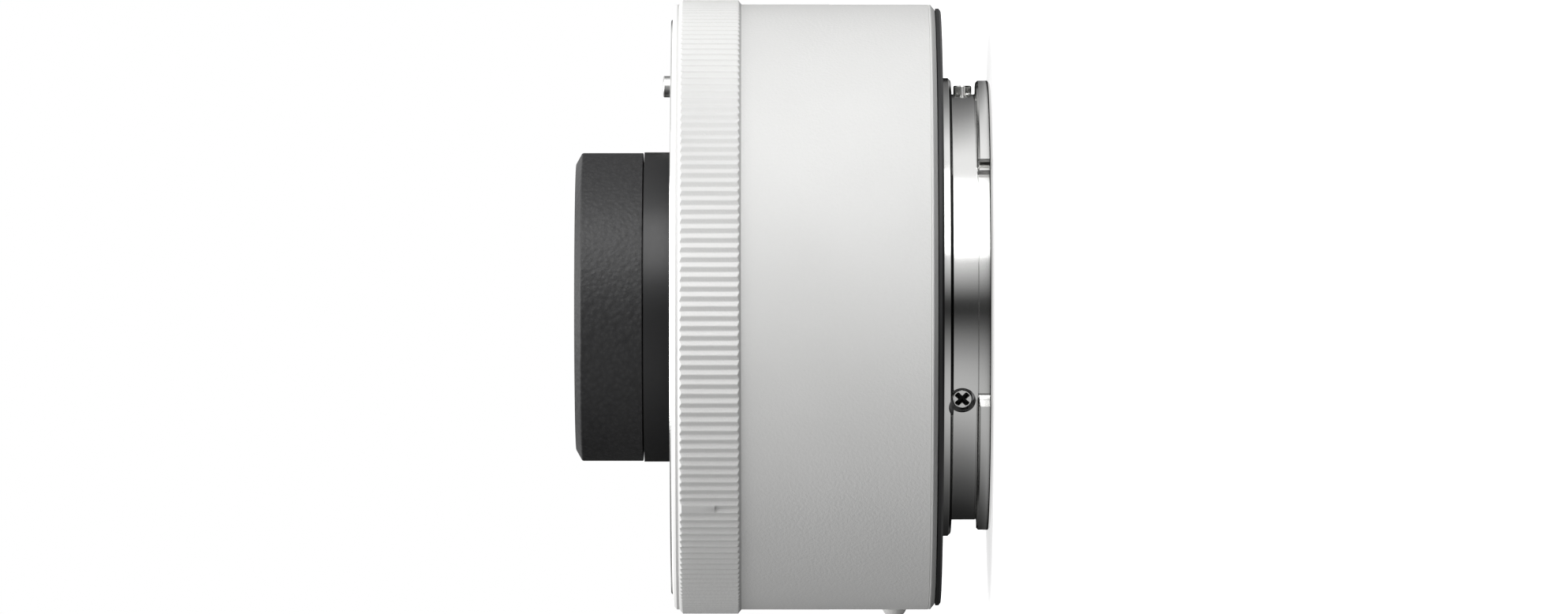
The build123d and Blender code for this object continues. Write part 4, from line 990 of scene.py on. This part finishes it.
def painted_barrel():
    """The barrel with its end bevel, a fine line before it and the slot under the release lever's knob."""
    skin = Skin()
    profile = outline(
        (barrel_bore_radius, barrel_rear, barrel_bore_edge),
        (barrel_rear_radius, barrel_rear, barrel_rear_edge),
        (barrel_bevel_radius, barrel_bevel_front, barrel_bevel_edge),
        (barrel_radius, barrel_line - barrel_line_half, crease),
        (barrel_radius - barrel_line_depth, barrel_line, crease),
        (barrel_radius, barrel_line + barrel_line_half, crease),
        (barrel_radius, ring_rear, barrel_front_edge),
        (barrel_spigot_radius, ring_rear, barrel_spigot_edge),
        (barrel_spigot_radius, ring_front, crease),
        (barrel_bore_radius, ring_front, crease),
        steps=barrel_corner_steps,
    )
    slot_low = (slot_middle - slot_length / 2) * MM
    slot_high = (slot_middle + slot_length / 2) * MM
    after = int(np.argmax(profile[:, 1] > slot_high))
    side = profile[after - 1, 0]
    rows = np.concatenate([profile[:after], [[side, slot_low], [side, slot_high]], profile[after:]])
    half = math.degrees(slot_width / 2 / barrel_radius)
    round_barrel = np.linspace(lock_place + half, lock_place + 360.0 - half, barrel_columns)
    turns = np.radians(np.append(round_barrel, lock_place + 360.0))
    keep = np.ones((len(turns), len(rows)), bool)
    keep[-2:, after] = False
    skin.grid(swept(rows[:, 0], rows[:, 1], turns), closed_rows=True, closed_columns=True, keep=keep)
    edge = np.radians([lock_place - half, lock_place, lock_place + half])
    radii = np.array([side, barrel_bore_radius * MM])
    for height, order in ((slot_low, 1), (slot_high, -1)):
        skin.grid(swept(radii, np.full(2, height), edge)[::order])
    for turn, order in ((edge[0], -1), (edge[-1], 1)):
        spoke = np.stack([radii * math.cos(turn), radii * math.sin(turn)], axis=-1)
        ends = [np.column_stack([spoke, np.full(2, height)]) for height in (slot_low, slot_high)]
        skin.grid(np.stack(ends)[::order])
    skin.piece("painted_barrel", "white_paint", stands_for="main_barrel")


# The front rim, from its bore outwards
rim_bore_radius = 29.30
rim_spigot_radius = 29.75
rim_rear = 22.0
rim_radius = 30.77
rim_side_front = 26.50
rim_bevel_radius = 30.50
rim_bevel_front = 26.75
rim_front = 26.93
rim_rear_edge = 0.03
rim_side_edge = 0.05
rim_bevel_edge = 0.15

# The hood round the front glass, outside and then inside
hood_bore_radius = 14.35
hood_radius = 15.66
hood_rear = 29.92
hood_bevel_rear = 36.14
hood_front_radius = 14.52
hood_front = 36.77
hood_mouth_radius = 13.9
hood_lip_radius = 12.3
hood_lip_front = 35.4
hood_lip_rear = 35.0
hood_bore_edge = 0.05
hood_rear_edge = 0.08
hood_bevel_edge = 0.25
hood_front_edge = 0.2
hood_mouth_edge = 0.1

# The seal behind the barrel: its lip stands proud of the seat
seal_bore_radius = 28.65
seal_lip = -0.28
seal_lip_radius = 30.12
seal_radius = 30.37
seal_bevel_front = -0.08
seal_side_front = 0.25
seal_groove_radius = 29.95
seal_foot_radius = 29.5
seal_front = 1.6
seal_edge = 0.05
seal_lip_edge = 0.04
seal_groove_edge = 0.02


def front_rim():
    """The white rim before the ribbed ring, with a narrow bevel and a flat face."""
    rim = turned(
        (rim_bore_radius, rim_rear, crease),
        (rim_spigot_radius, rim_rear, crease),
        (rim_spigot_radius, ring_front, crease),
        (rim_radius, ring_front, rim_rear_edge),
        (rim_radius, rim_side_front, rim_side_edge),
        (rim_bevel_radius, rim_bevel_front, rim_bevel_edge),
        (rim_bore_radius, rim_front, rim_side_edge),
    )
    rim.piece("front_rim_surface", "white_paint", stands_for="front_rim")


def hood():
    """The textured ring round the front glass, with a bevelled front and a funnel inside."""
    shell = turned(
        (hood_bore_radius, hood_rear, hood_bore_edge),
        (hood_radius, hood_rear, hood_rear_edge),
        (hood_radius, hood_bevel_rear, hood_bevel_edge),
        (hood_front_radius, hood_front, hood_front_edge),
        (hood_mouth_radius, hood_front, hood_mouth_edge),
        (hood_lip_radius, hood_lip_front, hood_mouth_edge),
        (hood_lip_radius, hood_lip_rear, hood_bore_edge),
        (hood_bore_radius, hood_lip_rear, crease),
    )
    shell.piece("hood_surface", "black_texture", stands_for="hood_shell")


def seal():
    """The rubber ring between the barrel and the camera."""
    ring = turned(
        (seal_bore_radius, seal_lip, seal_edge),
        (seal_lip_radius, seal_lip, seal_lip_edge),
        (seal_radius, seal_bevel_front, seal_edge),
        (seal_radius, seal_side_front, seal_edge),
        (seal_groove_radius, seal_side_front, seal_groove_edge),
        (seal_groove_radius, barrel_rear, crease),
        (seal_foot_radius, barrel_rear, crease),
        (seal_foot_radius, seal_front, crease),
        (seal_bore_radius, seal_front, crease),
    )
    ring.piece("seal_surface", "rubber_black", stands_for="rear_seal")


# The lock pin, from its tail to its soft end
pin_centre_radius = 0.1
pin_tail_radius = 0.7
pin_collar_radius = 1.7
pin_neck_radius = 0.8
pin_radius = 1.1
pin_tail_rear = 11.65
pin_collar_rear = 17.05
pin_collar_front = 17.95
pin_neck_front = 18.95
pin_end = 28.02
pin_end_edge = 0.16
pin_crown_radius = 0.6
pin_crown_height = 0.02
pin_crown_edge = 0.4
pin_tip_height = 0.03
pin_corner_steps = 6


def lock_pin():
    """The lock pin, turned about its own axis: tail, collar, neck and the round pin with a soft edge."""
    profile = outline(
        (pin_centre_radius, pin_tail_rear, crease),
        (pin_tail_radius, pin_tail_rear, crease),
        (pin_tail_radius, pin_collar_rear, crease),
        (pin_collar_radius, pin_collar_rear, crease),
        (pin_collar_radius, pin_collar_front, crease),
        (pin_neck_radius, pin_collar_front, crease),
        (pin_neck_radius, pin_neck_front, crease),
        (pin_radius, pin_neck_front, crease),
        (pin_radius, pin_end, pin_end_edge),
        (pin_crown_radius, pin_end + pin_crown_height, pin_crown_edge),
        (pin_centre_radius, pin_end + pin_tip_height, crease),
        steps=pin_corner_steps,
    )
    skin = Skin()
    turn = math.radians(lock_place)
    middle = np.array([math.cos(turn), math.sin(turn), 0.0]) * lock_circle * MM
    shape = swept(profile[:, 0], profile[:, 1], all_round(small_columns)) + middle
    skin.grid(shape, closed_rows=True)
    skin.cap(shape[:, -1])
    skin.cap(shape[::-1, 0])
    skin.piece("lock_pin_surface", "steel", stands_for="lock_pin", body="lock_pin")


# The studio: lamps as name, direction, distance, width and height in metres, and power in watts
lamps = (
    ("key", (0.755, -0.656, 0.0), 0.7, 0.58, 0.8, 5.6),
    ("top", (0.06, -0.1, 1.0), 0.55, 0.5, 0.5, 2.75),
)
ambient_level = 0.62

# The floor: its colour for bounced light and for the camera, and its own glow
floor_size = 6.0
floor_colour = (0.05, 0.05, 0.05)
floor_colour_seen = (0.60, 0.60, 0.60)
floor_glow = 0.70
floor_roughness = 0.9

# Brightness that polished pieces reflect, by angle up from the viewer in degrees
surround_levels = (
    (-180, 0.01), (-140, 0.02), (-127, 0.03), (-103, 0.08), (-84, 0.18), (-68, 0.36), (-53, 0.53),
    (-40, 0.55), (-30, 0.48), (-17, 0.25), (-8, 0.09), (-2, 0.03), (3, 0.05), (8, 0.2), (21, 0.74),
    (34, 1.0), (86, 1.0), (101, 0.60), (119, 0.30), (135, 0.19), (153, 0.12), (156, 0.01), (180, 0.01),
)
surround_radius = 0.8
surround_top = 0.6
surround_floor_gap = 0.0002
dark_card_radius = 0.026
dark_card_fade = 1.15
dark_card_level = 0.02
high_card_heights = (0.10, 0.30)
high_card_sides = (-0.55, 0.10)
high_card_level = 0.22
high_card_rise = 0.64

# The camera's range of sight in metres
nearest_sight = 0.1
farthest_sight = 50.0


def lamp(name, direction, distance, width, height, power):
    """A soft rectangular lamp that looks at the middle of the object from a direction."""
    light = bpy.data.lights.new(name, "AREA")
    light.shape = "RECTANGLE"
    light.size = width
    light.size_y = height
    light.energy = power
    holder = linked(name, light)
    away = Vector(direction).normalized()
    holder.location = Vector((0.0, 0.0, view_centre_height)) + away * distance
    holder.rotation_euler = away.to_track_quat("Z", "Y").to_euler()


def seen_by_the_eye(finish):
    """1 for camera, glossy and transmission rays, and 0 for all others."""
    path = finish.node("ShaderNodeLightPath")
    return path["Is Camera Ray"].larger(path["Is Glossy Ray"]).larger(path["Is Transmission Ray"])


def card_level(finish):
    """Brightness of the cards: by angle round the optical axis below, and by side above.

    Right under the object the cards are dark.
    """
    place = finish.parts(finish.place())
    angle = finish.node("ShaderNodeMath", {"operation": "ARCTAN2"}, (place["X"], 0.0 - place["Y"]))["Value"]
    share = angle / (2 * math.pi) + 0.5
    stops = tuple(((degrees + 180) / 360, float(level)) for degrees, level in surround_levels)
    radius = (place["X"] ** 2.0 + place["Y"] ** 2.0) ** 0.5
    reach = finish.between(radius, dark_card_radius, dark_card_fade * dark_card_radius)
    level = finish.ramp(share, *stops) * (dark_card_level + (1.0 - dark_card_level) * reach)
    high = finish.between(place["Z"], *high_card_heights)
    level_high = high_card_level + high_card_rise * finish.between(place["X"], *high_card_sides)
    return level + high * (level_high - level)


def reflected_surround():
    """Cards that only polished surfaces see: bright towards +X, dark towards the viewer and behind."""
    finish = Finish("studio_cards")
    light = {"Color": card_level(finish), "Strength": 1.0}
    glow = finish.node("ShaderNodeEmission", None, light)["Emission"]
    finish.node("ShaderNodeOutputMaterial", None, {"Surface": glow})
    low = cad_low[2] + surround_floor_gap
    radii = np.array([0.0, surround_radius, surround_radius, surround_radius, surround_radius, 0.0])
    heights = np.array([surround_top, surround_top, surround_top, low, low, low])
    skin = Skin().grid(swept(radii, heights, all_round(small_columns)), closed_rows=True)
    cards = skin.object("studio_cards")
    cards.data.materials.append(finish.material)
    cards.visible_camera = False
    cards.visible_diffuse = False
    cards.visible_transmission = False
    cards.visible_shadow = False
    cards.visible_volume_scatter = False


def studio():
    """A white surround, a pale floor that keeps the shadow, and soft lamps above and in front."""
    world = bpy.data.worlds.new("studio")
    bpy.context.scene.world = world
    world.use_nodes = True
    air = Finish("studio", world.node_tree)
    level = ambient_level + (1.0 - ambient_level) * seen_by_the_eye(air)
    light = {"Color": (1.0, 1.0, 1.0, 1.0), "Strength": level}
    glow = air.node("ShaderNodeBackground", None, light)["Background"]
    air.node("ShaderNodeOutputWorld", None, {"Surface": glow})

    half = floor_size / 2
    low = cad_low[2]
    corners = ((-half, -half), (half, -half), (half, half), (-half, half))
    floor = flat_object("floor", [(x, y, low) for x, y in corners])
    ground = Finish("floor")
    seen = ground.node("ShaderNodeLightPath")["Is Camera Ray"]
    ground.surface(
        Base_Color=ground.ramp(seen, (0.0, floor_colour), (1.0, floor_colour_seen)),
        Roughness=floor_roughness,
        Emission_Color=ground.ramp(seen_by_the_eye(ground), (0.0, 0.0), (1.0, 1.0)),
        Emission_Strength=floor_glow,
    )
    floor.data.materials.append(ground.material)
    reflected_surround()
    for row in lamps:
        lamp(*row)


def studio_camera():
    """The photograph's camera: level, looking along +Y, rolled so that +X is up and -Z is right."""
    camera = bpy.data.cameras.new("photo_camera")
    camera.sensor_width = sensor_width_mm
    scale_at_axis = photo_scale_px_per_mm / MM
    camera.lens = sensor_width_mm * scale_at_axis * camera_distance / photo_width_px
    camera.shift_x = (photo_width_px / 2 - view_centre_px) / photo_width_px
    camera.clip_start = nearest_sight
    camera.clip_end = farthest_sight
    holder = linked("photo_camera", camera)
    holder.matrix_world = Matrix(
        (
            (0.0, 1.0, 0.0, 0.0),
            (0.0, 0.0, -1.0, -camera_distance),
            (-1.0, 0.0, 0.0, view_centre_height),
            (0.0, 0.0, 0.0, 1.0),
        )
    )
    bpy.context.scene.camera = holder


studio()
male_bayonet()
neck_screw_heads()
ribbed_ring()
painted_barrel()
front_rim()
hood()
seal()
lock_pin()
studio_camera()
bpy.context.scene.view_settings.view_transform = "Standard"
